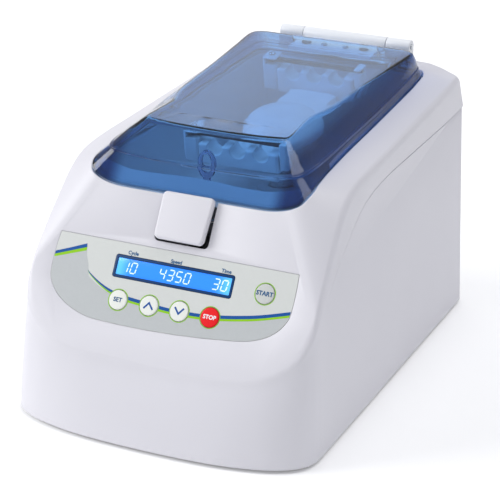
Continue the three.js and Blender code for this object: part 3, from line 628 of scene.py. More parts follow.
def add(
    tree: bpy.types.NodeTree, kind: str, inputs: dict | None = None, **settings: object
) -> bpy.types.Node:
    """Adds a node.

    Args:
        tree: the tree it goes in.
        kind: its type name.
        inputs: a value or an output socket for each input, by name or number.
        settings: its other properties.

    Returns:
        The node.
    """
    made = tree.nodes.new(kind)
    for key, value in settings.items():
        setattr(made, key, value)
    for key, value in (inputs or {}).items():
        if isinstance(value, bpy.types.NodeSocket):
            tree.links.new(value, made.inputs[key])
        else:
            made.inputs[key].default_value = value
    return made


def blank(name: str) -> tuple[bpy.types.Material, bpy.types.NodeTree, bpy.types.NodeSocket]:
    """Returns a new material, its emptied node tree and the socket of its object coordinates."""
    made = bpy.data.materials.new(name)
    made.use_nodes = True
    made.node_tree.nodes.clear()
    where = add(made.node_tree, "ShaderNodeTexCoord").outputs["Object"]
    return made, made.node_tree, where


def noise(
    tree: bpy.types.NodeTree, where: bpy.types.NodeSocket, size_mm: float, detail: float = 2.0
) -> bpy.types.NodeSocket:
    """Returns a noise whose features are about size_mm wide."""
    inputs = {"Vector": where, "Scale": per_mm(size_mm), "Detail": detail}
    return add(tree, "ShaderNodeTexNoise", inputs).outputs[0]


def bumped(
    tree: bpy.types.NodeTree, height: bpy.types.NodeSocket, depth_mm: float
) -> bpy.types.NodeSocket:
    """Returns the normal of a surface that a height lifts by up to depth_mm."""
    inputs = {"Height": height, "Distance": depth_mm * MM}
    return add(tree, "ShaderNodeBump", inputs).outputs[0]


def coat(tree: bpy.types.NodeTree, sockets: dict) -> None:
    """Gives a material its surface shader."""
    shader = add(tree, "ShaderNodeBsdfPrincipled", sockets)
    add(tree, "ShaderNodeOutputMaterial", {"Surface": shader.outputs[0]})


def blended(
    tree: bpy.types.NodeTree, factor: bpy.types.NodeSocket, low: str, high: str
) -> bpy.types.NodeSocket:
    """Returns a colour socket that runs from one hex colour to another with a factor."""
    mix = add(tree, "ShaderNodeMix", {0: factor, 6: linear(low), 7: linear(high)}, data_type="RGBA")
    return mix.outputs[2]


@dataclass(frozen=True)
class MouldedPlastic:
    """Injection-moulded plastic: even colour, faint flow marks and a fine spark-eroded grain.

    Args:
        name: material name.
        colour: main sRGB colour.
        flow: colour of the flow marks.
        roughness: middle roughness.
        grain_mm: width of the mould grain, drawn coarser than real so that it shows.
        depth_mm: height of the grain.
        flow_mm: width of the flow marks.
    """

    name: str
    colour: str
    flow: str
    roughness: float = 0.4
    grain_mm: float = 0.7
    depth_mm: float = 0.012
    flow_mm: float = 70

    def material(self) -> bpy.types.Material:
        """Returns the material, made from these values."""
        made, tree, where = blank(self.name)
        cloud = noise(tree, where, self.flow_mm)
        tone = blended(tree, cloud, self.colour, self.flow)
        grain = noise(tree, where, self.grain_mm)
        spread = {"Value": grain, 3: self.roughness - 0.05, 4: self.roughness + 0.05}
        rough = add(tree, "ShaderNodeMapRange", spread)
        bump = bumped(tree, grain, self.depth_mm)
        sockets = {"Base Color": tone, "Roughness": rough.outputs[0], "Normal": bump, "IOR": 1.5}
        coat(tree, sockets)
        return made


@dataclass(frozen=True)
class WorkedMetal:
    """Ground, plated or cast metal: long grinding marks or blotches that change its shine.

    Args:
        name: material name.
        colour: sRGB colour.
        roughness: middle roughness.
        stretch: how the marks are drawn out along X, Y and Z.
        mark_mm: width of a mark.
        depth_mm: height of a mark.
    """

    name: str
    colour: str
    roughness: float = 0.3
    stretch: tuple[float, float, float] = (0.05, 1.0, 1.0)
    mark_mm: float = 0.4
    depth_mm: float = 0.004

    def material(self) -> bpy.types.Material:
        """Returns the material, made from these values."""
        made, tree, where = blank(self.name)
        drawn = add(tree, "ShaderNodeMapping", {"Vector": where, "Scale": self.stretch})
        marks = noise(tree, drawn.outputs[0], self.mark_mm, 3.0)
        spread = {"Value": marks, 3: self.roughness - 0.12, 4: self.roughness + 0.12}
        rough = add(tree, "ShaderNodeMapRange", spread)
        bump = bumped(tree, marks, self.depth_mm)
        lift = add(tree, "ShaderNodeMapRange", {"Value": marks, 3: 0.9, 4: 1.08})
        tint = {"Color": linear(self.colour), "Value": lift.outputs[0]}
        tone = add(tree, "ShaderNodeHueSaturation", tint)
        sockets = {
            "Base Color": tone.outputs[0],
            "Metallic": 1.0,
            "Roughness": rough.outputs[0],
            "Normal": bump,
        }
        coat(tree, sockets)
        return made


@dataclass(frozen=True)
class Elastomer:
    """Moulded rubber or silicone: dull, with a fine bloom that lightens it in patches.

    Args:
        name: material name.
        colour: sRGB colour.
        bloom: lighter sRGB colour of the bloom.
        roughness: roughness of the skin.
    """

    name: str
    colour: str
    bloom: str
    roughness: float = 0.75

    def material(self) -> bpy.types.Material:
        """Returns the material, made from these values."""
        made, tree, where = blank(self.name)
        cloud = noise(tree, where, 6, 5.0)
        tone = blended(tree, cloud, self.colour, self.bloom)
        pores = noise(tree, where, 0.6)
        bump = bumped(tree, pores, 0.02)
        sockets = {"Base Color": tone, "Roughness": self.roughness, "Normal": bump}
        coat(tree, sockets)
        return made


@dataclass(frozen=True)
class ClearTint:
    """Tinted clear polycarbonate: pale through one wall and deep navy along its edges, with painted
    shade on its side walls.

    Args:
        name: material name.
        dye: sRGB colour that the body of the plastic lets through.
        density: how fast the dye takes light, per metre.
        shade: sRGB colour of the light that gets through to what lies behind.
        painted_side_shade: sRGB colour of the painted shade on the side walls, where the base
            colour darkens.
        roughness: roughness of the polished skin.
    """

    name: str
    dye: str
    density: float
    shade: str
    painted_side_shade: str
    roughness: float = 0.03

    def material(self) -> bpy.types.Material:
        """Returns the material, made from these values."""
        made, tree, where = blank(self.name)
        sink = noise(tree, where, 35, 1.0)
        bump = bumped(tree, sink, 0.25)
        across = add(tree, "ShaderNodeSeparateXYZ", {0: where}).outputs[0]
        reach = add(tree, "ShaderNodeMath", {0: across}, operation="ABSOLUTE").outputs[0]
        # Painted shade: thick masks the side walls, past 58 mm from the middle, where the base
        # colour turns darker; it measures no thickness.
        spread = {"Value": reach, 1: 58 * MM, 2: 73 * MM, 3: 0.0, 4: 1.0}
        thick = add(tree, "ShaderNodeMapRange", spread, interpolation_type="SMOOTHSTEP").outputs[0]
        sockets = {
            "Base Color": blended(tree, thick, "F4F8FF", self.painted_side_shade),
            "Roughness": self.roughness,
            "IOR": 1.58,
            "Transmission Weight": 1.0,
            "Normal": bump,
        }
        body = add(tree, "ShaderNodeBsdfPrincipled", sockets)
        through = add(tree, "ShaderNodeBsdfTransparent", {"Color": linear(self.shade)})
        ray = add(tree, "ShaderNodeLightPath").outputs["Is Shadow Ray"]
        both = add(tree, "ShaderNodeMixShader", {0: ray, 1: body.outputs[0], 2: through.outputs[0]})
        absorbed = {"Color": linear(self.dye), "Density": self.density}
        dye = add(tree, "ShaderNodeVolumeAbsorption", absorbed)
        ends = {"Surface": both.outputs[0], "Volume": dye.outputs[0]}
        add(tree, "ShaderNodeOutputMaterial", ends)
        return made


@dataclass(frozen=True)
class PrintedFilm:
    """Back-printed polyester film or ink: flat colour under a fine velvet texture.

    Args:
        name: material name.
        colour: sRGB colour.
        speck: sRGB colour of the print's faint mottle.
        roughness: roughness of the velvet.
    """

    name: str
    colour: str
    speck: str
    roughness: float = 0.48

    def material(self) -> bpy.types.Material:
        """Returns the material, made from these values."""
        made, tree, where = blank(self.name)
        mottle = noise(tree, where, 2.5, 3.0)
        tone = blended(tree, mottle, self.colour, self.speck)
        velvet = add(tree, "ShaderNodeTexVoronoi", {"Vector": where, "Scale": per_mm(0.35)})
        bump = bumped(tree, velvet.outputs[0], 0.006)
        sockets = {
            "Base Color": tone,
            "Roughness": self.roughness,
            "Specular IOR Level": 0.25,
            "Normal": bump,
        }
        coat(tree, sockets)
        return made


@dataclass(frozen=True)
class Backlight:
    """Edge-lit liquid crystal pane: blue, brighter and greener towards its lamp ends.

    Args:
        name: material name.
        middle: sRGB colour at the middle.
        end: sRGB colour at the ends.
        strength: glow.
        half_mm: half the length of the pane.
    """

    name: str
    middle: str
    end: str
    strength: float
    half_mm: float

    def material(self) -> bpy.types.Material:
        """Returns the material, made from these values."""
        made, tree, where = blank(self.name)
        across = add(tree, "ShaderNodeSeparateXYZ", {0: where}).outputs[0]
        size = add(tree, "ShaderNodeMath", {0: across}, operation="ABSOLUTE").outputs[0]
        spread = {"Value": size, 1: 0.72 * self.half_mm * MM, 2: self.half_mm * MM, 3: 0.0, 4: 0.75}
        glow = add(tree, "ShaderNodeMapRange", spread, interpolation_type="SMOOTHSTEP").outputs[0]
        tone = blended(tree, glow, self.middle, self.end)
        grid = noise(tree, where, 0.4)
        bump = bumped(tree, grid, 0.003)
        sockets = {
            "Base Color": tone,
            "Roughness": 0.12,
            "Emission Color": tone,
            "Emission Strength": self.strength,
            "Normal": bump,
        }
        coat(tree, sockets)
        return made


@dataclass(frozen=True)
class Paint:
    """Sprayed or powder paint on metal: a shallow orange peel and small dust specks.

    Args:
        name: material name.
        colour: sRGB colour.
        speck: sRGB colour of the specks.
        roughness: roughness of the paint.
    """

    name: str
    colour: str
    speck: str
    roughness: float = 0.45

    def material(self) -> bpy.types.Material:
        """Returns the material, made from these values."""
        made, tree, where = blank(self.name)
        dust = noise(tree, where, 1.2, 4.0)
        tone = blended(tree, dust, self.colour, self.speck)
        cells = {"Vector": where, "Scale": per_mm(1.4)}
        peel = add(tree, "ShaderNodeTexVoronoi", cells, feature="SMOOTH_F1")
        bump = bumped(tree, peel.outputs[0], 0.03)
        sockets = {"Base Color": tone, "Roughness": self.roughness, "Normal": bump}
        coat(tree, sockets)
        return made


class Finishes:
    """Every finish of the object, each made once."""

    def __init__(self) -> None:
        """Makes the materials."""
        # Satin moulded ABS, cool white, soft highlights
        self.abs = MouldedPlastic("satin_abs", "D7D6DC", "DBDAE0", 0.42).material()
        # Polypropylene tub, slightly waxy and greyer
        waxy = MouldedPlastic("waxy_polypropylene", "C9CDD4", "D2D5DB", 0.38, 0.9, 0.01)
        self.tub = waxy.material()
        # Acetal carrier, bright white with soft shine
        acetal = MouldedPlastic("white_acetal", "EEF0F3", "E4E7EC", 0.32, 0.8, 0.008)
        self.acetal = acetal.material()
        # Glass-filled nylon, black, with a dull broad shine
        self.dark = MouldedPlastic("black_nylon", "25272B", "2E3035", 0.46, 0.6, 0.015).material()
        # Polished polycarbonate, pale blue through one wall and navy along its edges, with painted
        # shade on the side walls
        self.lid = ClearTint("blue_polycarbonate", "40BCE6", 310.0, "F2F5FA", "6C80AA").material()
        hook = ClearTint("blue_polycarbonate_hook", "4A78D8", 160.0, "E8EEFA", "F4F8FF")
        self.striker = hook.material()
        # Moulded rubber, nearly black under a grey bloom
        self.rubber = Elastomer("black_rubber", "1E1F21", "2B2C2F").material()
        # Cast silicone, pale grey and hardly shiny
        self.silicone = Elastomer("pale_silicone", "B9BFC8", "C6CBD2", 0.5).material()
        # Ground steel, bright streaks along the grinding
        self.steel = WorkedMetal("ground_steel", "C6C9CD", 0.26).material()
        # Blackened steel, grey streaks under a darker shine
        self.dark_steel = WorkedMetal("blackened_steel", "565A62", 0.36).material()
        # Milled aluminium, pale, with fine lines along one way
        self.aluminium = WorkedMetal("machined_aluminium", "D2D5D9", 0.36, (1, 0.05, 1)).material()
        # Oiled cast iron, dark and pitted
        self.cast = WorkedMetal("oiled_cast_iron", "4A4D52", 0.55, (1, 1, 1), 2.5, 0.05).material()
        # Velvet polyester film, a warm grey with no clear reflection
        self.film = PrintedFilm("velvet_film", "D3D6D3", "CFD2CF").material()
        self.film_dark = PrintedFilm("grey_print", "BEC2C3", "B9BDBE").material()
        # Screen-printed inks, flat colour with a faint mottle
        self.blue_ink = PrintedFilm("blue_print", "0653A0", "054C96").material()
        self.navy_ink = PrintedFilm("navy_print", "143F73", "123866", 0.3).material()
        self.green_ink = PrintedFilm("green_print", "92CC1C", "88C216").material()
        self.label_ink = PrintedFilm("label_print", "1C5A88", "185280").material()
        # Domed key films, the same velvet in their own colours
        self.red_key = PrintedFilm("red_key_film", "F0141B", "E41118").material()
        self.pale_key = PrintedFilm("pale_key_film", "EAEDE6", "E4E7E0").material()
        self.grey_key = PrintedFilm("grey_key_film", "CBCECB", "C5C8C5").material()
        self.white_ink = PrintedFilm("white_print", "F4F6FA", "EDEFF4", 0.4).material()
        # Backlit liquid crystal, an even blue that pales towards both ends
        self.backlight = Backlight("blue_backlight", "2C80F4", "62C4FF", 0.55, 45.7).material()
        self.segment = Backlight("white_segment", "C8DEFF", "D8EAFF", 0.6, 45.7).material()
        # Sprayed enamel, dark grey with a shallow orange peel
        self.motor = Paint("grey_enamel", "3A3D43", "44474D", 0.4).material()
        # Powder coat, darker and duller, with a coarser peel to the eye
        self.base = Paint("powder_coat", "3E4044", "4A4C50", 0.6).material()
        # Solder mask over fibreglass, glossy green
        self.board = Paint("green_solder_mask", "1B6A42", "23754C", 0.3).material()


# ---------------------------------------------------------------- repeated parts


def grown(
    name: str, points: Sequence[Sequence[float]], tree: bpy.types.NodeTree, sizes: dict
) -> bpy.types.Mesh:
    """Runs a geometry node tree on a set of points.

    Args:
        name: name for the mesh.
        points: where the copies stand, in millimetres.
        tree: the node tree.
        sizes: value of each named input.

    Returns:
        A plain mesh.
    """
    seeds = bpy.data.meshes.new(name)
    seeds.from_pydata([tuple(p) for p in points], [], [])
    obj = scratch(seeds, name)
    modifier = obj.modifiers.new("grow", "NODES")
    modifier.node_group = tree
    for socket in tree.interface.items_tree:
        if socket.name in sizes:
            modifier[socket.identifier] = sizes[socket.name]
    return evaluated_mesh(obj)


def growth_tree(name: str, inputs: dict[str, str]) -> tuple[bpy.types.NodeTree, bpy.types.Node]:
    """Returns a geometry node tree with named inputs, and its input node."""
    tree = bpy.data.node_groups.new(name, "GeometryNodeTree")
    tree.interface.new_socket("Points", in_out="INPUT", socket_type="NodeSocketGeometry")
    for label, kind in inputs.items():
        tree.interface.new_socket(label, in_out="INPUT", socket_type=kind)
    tree.interface.new_socket("Geometry", in_out="OUTPUT", socket_type="NodeSocketGeometry")
    return tree, add(tree, "NodeGroupInput")


def planted(
    tree: bpy.types.NodeTree, start: bpy.types.Node, one: bpy.types.NodeSocket
) -> bpy.types.NodeTree:
    """Ends a tree: one shape stands on every point, made real, in the material asked for."""
    copies = {"Points": start.outputs["Points"], "Instance": one}
    spread = add(tree, "GeometryNodeInstanceOnPoints", copies)
    real = add(tree, "GeometryNodeRealizeInstances", {0: spread.outputs[0]})
    last = {"Geometry": real.outputs[0], "Material": start.outputs["Material"]}
    painted = add(tree, "GeometryNodeSetMaterial", last)
    add(tree, "NodeGroupOutput", {0: painted.outputs[0]})
    return tree


SIZE = "NodeSocketFloat"
FINISH = "NodeSocketMaterial"


def print_ring_tree() -> bpy.types.NodeTree:
    """Returns a tree that prints a thin flat ring round every point."""
    inputs = {"Radius": SIZE, "Width": SIZE, "Height": SIZE, "Material": FINISH}
    tree, start = growth_tree("print_rings", inputs)
    round_path = {"Resolution": 72, "Radius": start.outputs["Radius"]}
    path = add(tree, "GeometryNodeCurvePrimitiveCircle", round_path)
    sizes = {"Width": start.outputs["Width"], "Height": start.outputs["Height"]}
    section = add(tree, "GeometryNodeCurvePrimitiveQuadrilateral", sizes)
    sweep = {"Curve": path.outputs[0], "Profile Curve": section.outputs[0]}
    ring = add(tree, "GeometryNodeCurveToMesh", sweep)
    return planted(tree, start, ring.outputs[0])


def socket_screw_tree() -> bpy.types.NodeTree:
    """Returns a tree that sets a cap screw with a hexagon socket on every point."""
    inputs = {"Radius": SIZE, "Height": SIZE, "Material": FINISH}
    tree, start = growth_tree("socket_screws", inputs)
    radius, height = start.outputs["Radius"], start.outputs["Height"]
    cone = {"Vertices": 28, "Side Segments": 1, "Depth": height}
    head = add(tree, "GeometryNodeMeshCone", cone)
    tree.links.new(radius, head.inputs["Radius Bottom"])
    top = add(tree, "ShaderNodeMath", {0: radius, 1: 0.86}, operation="MULTIPLY")
    tree.links.new(top.outputs[0], head.inputs["Radius Top"])
    small = add(tree, "ShaderNodeMath", {0: radius, 1: 0.5}, operation="MULTIPLY")
    hexagon = {"Vertices": 6, "Radius": small.outputs[0], "Depth": height}
    key = add(tree, "GeometryNodeMeshCylinder", hexagon)
    lift = add(tree, "ShaderNodeMath", {0: height, 1: 0.75}, operation="MULTIPLY")
    up = add(tree, "ShaderNodeCombineXYZ", {2: lift.outputs[0]})
    raised = add(tree, "GeometryNodeTransform", {0: key.outputs[0], "Translation": up.outputs[0]})
    solids = {0: head.outputs[0], 1: raised.outputs[0]}
    bored = add(tree, "GeometryNodeMeshBoolean", solids, operation="DIFFERENCE")
    return planted(tree, start, bored.outputs[0])


def rib_tree() -> bpy.types.NodeTree:
    """Returns a tree that stands a round rib on every point."""
    tree, start = growth_tree("ribs", {"Radius": SIZE, "Height": SIZE, "Material": FINISH})
    sizes = {"Vertices": 14, "Radius": start.outputs["Radius"], "Depth": start.outputs["Height"]}
    rib = add(tree, "GeometryNodeMeshCylinder", sizes)
    return planted(tree, start, rib.outputs[0])


# ---------------------------------------------------------------- housing


@dataclass
class Housing:
    """Lofted outer shell with its recesses, rear cut-outs, base plate and feet.

    Args:
        finishes: the object's finishes.
        per_key: stations between control points.
        wall: wall thickness.
        crest_round: rounding of the crest.
        undercut: depth of the shadow groove under the shoulder, as a multiple of the step.
        lip_round: rounding of the chamber's edge.
        recess: depth of the seat for the panel film.
        latch_width: width of the latch pocket.
        latch_low: lower edge of the pocket up the panel.
        latch_tall: how far the pocket runs up from there.
        pane_seat: width and height of the opening for the display.
        inlet: width, height, place across and height up of the opening for the power inlet.
        rocker: the same for the power switch.
        vents: number of rear air slots.
    """

    finishes: Finishes
    per_key: int = 7
    wall: float = 3.0
    crest_round: float = 5.0
    undercut: float = 2.4
    lip_round: float = 1.2
    recess: float = 1.0
    latch_width: float = 43.4
    latch_low: float = 28.3
    latch_tall: float = 62.0
    pane_seat: tuple[float, float] = (101.4, 20.8)
    inlet: tuple[float, float, float, float] = (30, 24, -62, 36)
    rocker: tuple[float, float, float, float] = (21, 27, -20, 36)
    vents: int = 7

    def shell(self) -> Shape:
        """Returns the closed wall of the housing."""
        edge, crest = stations(OPENING, self.per_key), stations(CREST, self.per_key)
        shoulder, base = stations(SHOULDER, self.per_key), stations(BASE, self.per_key)
        bulge = station_values(WALL_BULGE, self.per_key)
        step = station_values(STEP_IN, self.per_key)
        level = towards(base, 0, DRIVE_D)
        groove = shoulder + level * step * self.undercut - (0, 0, 0.5) - 0.3 * step * (0, 0, 1)
        under = shoulder + level * step - (0, 0, 1) - step * (0, 0, 1)
        outer = [edge] + bend(edge, crest, shoulder, self.crest_round, 8) + [shoulder, under]
        steps = 9
        for i in range(1, steps + 1):
            high = 1 - i / steps
            column = base + (under - base) * high**bulge
            column[:, 2] = base[:, 2] + (under[:, 2] - base[:, 2]) * high
            outer.append(column)
        normals = grid_normals(outer)
        if normals[1][:, 2].mean() < 0:
            normals = [-n for n in normals]
        inner = [column - normal * self.wall for column, normal in zip(outer, normals)]
        inner[0] = edge - normals[1] * self.wall + unit(crest - edge) * 0.4
        inner[-1][:, 2] = outer[-1][:, 2]
        lip = bend(inner[0], edge, outer[1], self.lip_round, 4)
        outer.insert(len(outer) - steps - 1, groove)
        return ring_shape(lip + outer[1:] + list(reversed(inner)))

    def rear_cut(self, width: float, height: float, x: float, up: float) -> Shape:
        """Returns a rounded cutter through the rear wall."""
        tool = slab(rounded_rect(width, height, 1.2, 4), -10, 10)
        upright = Matrix.Rotation(math.pi / 2, 4, "X")
        return tool.placed(Matrix.Translation((x, REAR_Y, FOOT_H + up)) @ upright)

    def build(self) -> None:
        """Makes the shell, the base plate, its screws and the feet."""
        panel = panel_frame()
        cuts = [slab(film_outline(0.35), -self.recess, 6).placed(panel)]
        pocket = slab(rounded_rect(self.latch_width, self.latch_tall, 3.4), -12, 12)
        cuts.append(pocket.moved(0, self.latch_low + self.latch_tall / 2, 0).placed(panel))
        seat = slab(rounded_rect(*self.pane_seat, 2), -6, 5)
        cuts.append(seat.moved(0, PANE_Y, 0).placed(panel))
        for x, y in KEYS.values():
            cuts.append(slab(circle(KEY_R + 1.6), -6, 5).moved(x, y, 0).placed(panel))
        cuts += [self.rear_cut(*self.inlet), self.rear_cut(*self.rocker)]
        for i in range(self.vents):
            cuts.append(self.rear_cut(70, 3, 0, 90 + 7 * i))
        mesh = worked(self.shell(), [(Cut.REMOVE, cut) for cut in cuts])
        mesh.transform(Matrix.Scale(MM, 4))
        mesh = bevelled(mesh, 0.45 * MM, 50, 2)
        finish = self.finishes.abs
        settle(mesh, "housing_shell", "housing", finish, None, ["main_housing"], 40)
        self.underside()

    def underside(self) -> None:
        """Makes the base plate, its cap screws and the turned feet."""
        follow("base_plate", 0.8, "base_tray", "housing", self.finishes.base)
        places = ((-95, 140), (95, 140), (-98, -40), (98, -40), (0, 150), (-60, -150), (60, -150))
        spots = [(x, y, 0) for x, y in places]
        sizes = {"Radius": 3.2, "Height": 1.8, "Material": self.finishes.dark_steel}
        screws = grown("base_screws", spots, socket_screw_tree(), sizes)
        turn = Matrix.Translation((0, 0, FOOT_H + 0.4)) @ Matrix.Rotation(math.pi, 4, "X")
        settle(screws, "base_screws", "housing", self.finishes.dark_steel, turn)
        profile = [(0, 0), (10.6, 0), (11, 1), (10.4, 3.2), (0, 3.2)]
        feet = (
            ("front_left", -85, 300),
            ("front_right", 85, 300),
            ("rear_left", -80, 40),
            ("rear_right", 80, 40),
        )
        for name, x, forward in feet:
            foot = lathe(eased(profile, 0.5))
            at = Matrix.Translation((x, REAR_Y - forward, 0))
            node = f"foot_{name}"
            settle(foot, f"rubber_{node}", "housing", self.finishes.rubber, at, [node])


@dataclass
class Chamber:
    """Moulded tub under the lid, its rim gasket and the shaft seal.

    Args:
        finishes: the object's finishes.
        per_key: stations between control points.
        floor: height of the tub floor.
        wall: wall thickness.
        rim_drop: depth of the rim under the top surface.
        root_in: how far the foot of the side wall stands in from its top.
        floor_in: how far the flat of the floor starts in from there.
        seal_radius: outer radius of the shaft seal.
    """

    finishes: Finishes
    per_key: int = 6
    floor: float = 126.0
    wall: float = 2.5
    rim_drop: float = 5.2
    root_in: float = 8
    floor_in: float = 24
    seal_radius: float = 17.0

    def skin(self, extra: float, drop: float, floor: float) -> list[np.ndarray]:
        """Returns the columns of one side of the tub, from the rim to the floor."""
        rim = Rim(self.per_key)
        ledge = station_values(LEDGE_IN, self.per_key)
        lip, root = rim.offset(3.0, drop), rim.offset(-ledge - extra, drop)
        inward = towards(root, 0, CHAMBER_D)
        low = root + inward * self.root_in
        low[:, 2] = FOOT_H + floor
        floor_ring = low + inward * self.floor_in
        front, rear = floor_ring[len(floor_ring) // 2, 1], floor_ring[0, 1]
        floor_ring[:, 1] = np.clip(floor_ring[:, 1], front, rear)
        columns = [lip] + bend(lip, root, low, 2.6, 4) + bend(root, low, floor_ring, 12, 6)
        return columns + [floor_ring]

    def build(self) -> None:
        """Makes the tub, the gasket and the seal."""
        outer = self.skin(0.0, self.rim_drop + 2, self.floor - self.wall)
        inner = self.skin(self.wall, self.rim_drop, self.floor)
        bore = slab(circle(self.seal_radius + 0.3), -20, 20).placed(spot(0, DRIVE_D, self.floor))
        tub = worked(cap_shape(outer, inner, True), [(Cut.REMOVE, bore)])
        waxy, soft = self.finishes.tub, self.finishes.silicone
        settle(tub, "tub_moulding", "housing", waxy, stands_for=["chamber_tub"], crease=50)
        rim = Rim(self.per_key)
        strip = ((-2.6, 3.7), (-2.9, 3.55), (-4.7, 3.55), (-5, 3.7), (-5, 4.15), (-2.6, 4.15))
        gasket = ring_shape([rim.offset(out, drop) for out, drop in strip])
        settle(gasket, "rim_gasket", "housing", soft, stands_for=["lid_gasket"])
        r = self.seal_radius
        profile = [(8.6, -2.5), (r, -2.5), (r, 1), (r - 3, 3), (9.4, 3), (8.6, 1), (8.6, -2.5)]
        at = spot(0, DRIVE_D, self.floor)
        settle(lathe(profile), "lip_seal", "housing", soft, at, ["shaft_seal"])


# ---------------------------------------------------------------- lid


@dataclass
class Lid:
    """Tinted lid with its hinge, screws and the hook that the latch holds.

    Args:
        finishes: the object's finishes.
        per_key: stations between control points.
        wall: wall thickness.
        clear: gap between the lid and the edge of the chamber.
        bead: height of the moulded bead between the skirt and the dome.
        bead_foot: how far the bead reaches to either side of the fold.
    """

    finishes: Finishes
    per_key: int = 6
    wall: float = 3.0
    clear: float = 1.2
    bead: float = 1.0
    bead_foot: float = 1.7

    def skin(self, bead: float) -> list[np.ndarray]:
        """Returns the columns of the lid's outside, rim first, with a bead along the fold."""
        rim = Rim(self.per_key)
        edge = rim.offset(-self.clear, 0)
        fold, crest = stations(LID_FOLD, self.per_key), stations(LID_CREST, self.per_key)
        summit = np.array((0, REAR_Y - CHAMBER_D, FOOT_H + 210.2))
        bulge = station_values(LID_BULGE, self.per_key)
        side = 0.5 * (fold + crest) - towards(fold, 0, CHAMBER_D) * bulge
        inboard = crest + 0.2 * (summit - crest)
        low = fold + unit(edge - fold) * self.bead_foot
        high = fold + unit(side - fold) * self.bead_foot
        out = unit(unit(summit - fold) * (-1, -1, 0) + (0, 0, 0.8))
        ridge = fold + out * bead
        columns = [edge] + bend(edge, low, ridge, 0.5, 2) + bend(low, ridge, high, 0.9, 4)
        columns += bend(ridge, high, side, 0.5, 2) + bend(high, side, crest, 8, 4)
        columns += bend(side, crest, inboard, 3.4, 6)
        return columns + [crest + 0.1 * (summit - crest), inboard]

    def build(self) -> None:
        """Makes the cover, the hinge and the hook."""
        outer, plain = self.skin(self.bead), self.skin(0.0)
        normals = grid_normals(plain)
        if normals[-1][:, 2].mean() < 0:
            normals = [-n for n in normals]
        edge_normal = Rim(self.per_key).frames()[2]
        inner = [column - normal * self.wall for column, normal in zip(plain, normals)]
        inner[0] = outer[0] - edge_normal * self.wall
        for column in (-1, -2):
            inner[column] = outer[column] - (0, 0, self.wall)
        notch = slab(rounded_rect(75, 40, 1.2), -7, 7).placed(spot(0, HINGE_D + 3, HINGE_H - 3))
        cover = worked(cap_shape(outer, inner), [(Cut.REMOVE, notch)])
        clear = self.finishes.lid
        settle(cover, "clear_cover", "lid", clear, stands_for=["lid_cover"], crease=42)
        follow("lid_striker", 0.6, "cover_hook", "lid", self.finishes.striker)
        self.hinge()

    def hinge(self) -> None:
        """Makes the leaf, knuckles, pin and screws."""
        white = self.finishes.acetal
        follow("lid_hinge_leaf", 0.5, "hinge_leaf", "lid", white)
        for side in ("left", "right"):
            follow(f"hinge_knuckle_{side}", 0.6, f"knuckle_{side}", "housing", white)
        pin = lathe(eased([(0, -57.8), (2, -57.8), (2, 57.8), (0, 57.8)], 0.5))
        at = spot(0, HINGE_D, HINGE_H) @ Matrix.Rotation(math.pi / 2, 4, "Y")
        settle(pin, "hinge_rod", "housing", self.finishes.steel, at, ["hinge_pin"])
        screws = (
            (-25, 4, "dark_screws"),
            (-9.2, 2.6, "bright_screws"),
            (9.2, 2.6, "bright_screws"),
            (25, 4, "dark_screws"),
        )
        for i, (x, radius, slot) in enumerate(screws, 1):
            profile = [(0, 0), (radius, 0), (radius, 1), (radius * 0.72, 1.9), (0, 1.9)]
            socket = slab(circle(radius * 0.45, 6), 1.0, 3.0)
            head = worked(lathe(eased(profile, 0.35)), [(Cut.REMOVE, socket)])
            finish = self.finishes.dark_steel if slot == "dark_screws" else self.finishes.steel
            at = spot(x, HINGE_D + 22, HINGE_H - 3.1)
            settle(head, f"hinge_screw_{i}", "lid", finish, at, [f"leaf_screw_{i}"])


# ---------------------------------------------------------------- latch and controls


def bezier(
    a: Sequence[float], b: Sequence[float], c: Sequence[float], d: Sequence[float], steps: int = 14
) -> list:
    """Returns points along a cubic curve, without its last one."""
    a, b, c, d = (np.array(p, float) for p in (a, b, c, d))
    rows = []
    for i in range(steps):
        t, u = i / steps, 1 - i / steps
        rows.append(u**3 * a + 3 * t * u**2 * b + 3 * t * t * u * c + t**3 * d)
    return rows


def quadratic(a: Sequence[float], b: Sequence[float], c: Sequence[float], steps: int = 14) -> list:
    """Returns points along a quadratic curve, without its last one."""
    a, b, c = (np.array(p, float) for p in (a, b, c))
    return bezier(a, a + 2 / 3 * (b - a), c + 2 / 3 * (b - c), c, steps)


def film_outline(grow: float) -> np.ndarray:
    """Returns the outline of the panel film, anticlockwise, with every edge moved out by grow."""
    left, right, top = -96 - grow, 94.4 + grow, 22.7 + grow
    rows = quadratic((left, top), (left - 2.4, 6), (left - 1, -9))
    pulls = (left + 2, -20 - grow), (-80 - grow, -32 - grow)
    rows += bezier((left - 1, -9), *pulls, (-56, -35.3 - grow))
    rows += quadratic((-56, -35.3 - grow), (0, -38 - grow), (58, -31 - grow), 20)
    rows += bezier((58, -31 - grow), (78, -28.5 - grow), (90 + grow, -21 - grow), (right, -8))
    rows += quadratic((right, -8), (right + 1.4, 5), (right, top))
    rows.append(np.array((right, top)))
    return np.array(rows)


def smooth_line(points: Sequence[tuple[float, float]], steps: int = 5) -> list[np.ndarray]:
    """Returns a smooth open line through points."""
    rows = np.array([points[0], *points, points[-1]], float)
    line = []
    for p0, p1, p2, p3 in zip(rows, rows[1:], rows[2:], rows[3:]):
        for i in range(steps):
            t = i / steps
            line.append(p1 + 0.5 * t * (p2 - p0) + t * t * (p0 - 2.5 * p1 + 2 * p2 - 0.5 * p3)
                        + t**3 * (1.5 * p1 - 0.5 * p0 - 1.5 * p2 + 0.5 * p3))
    return line + [rows[-1]]


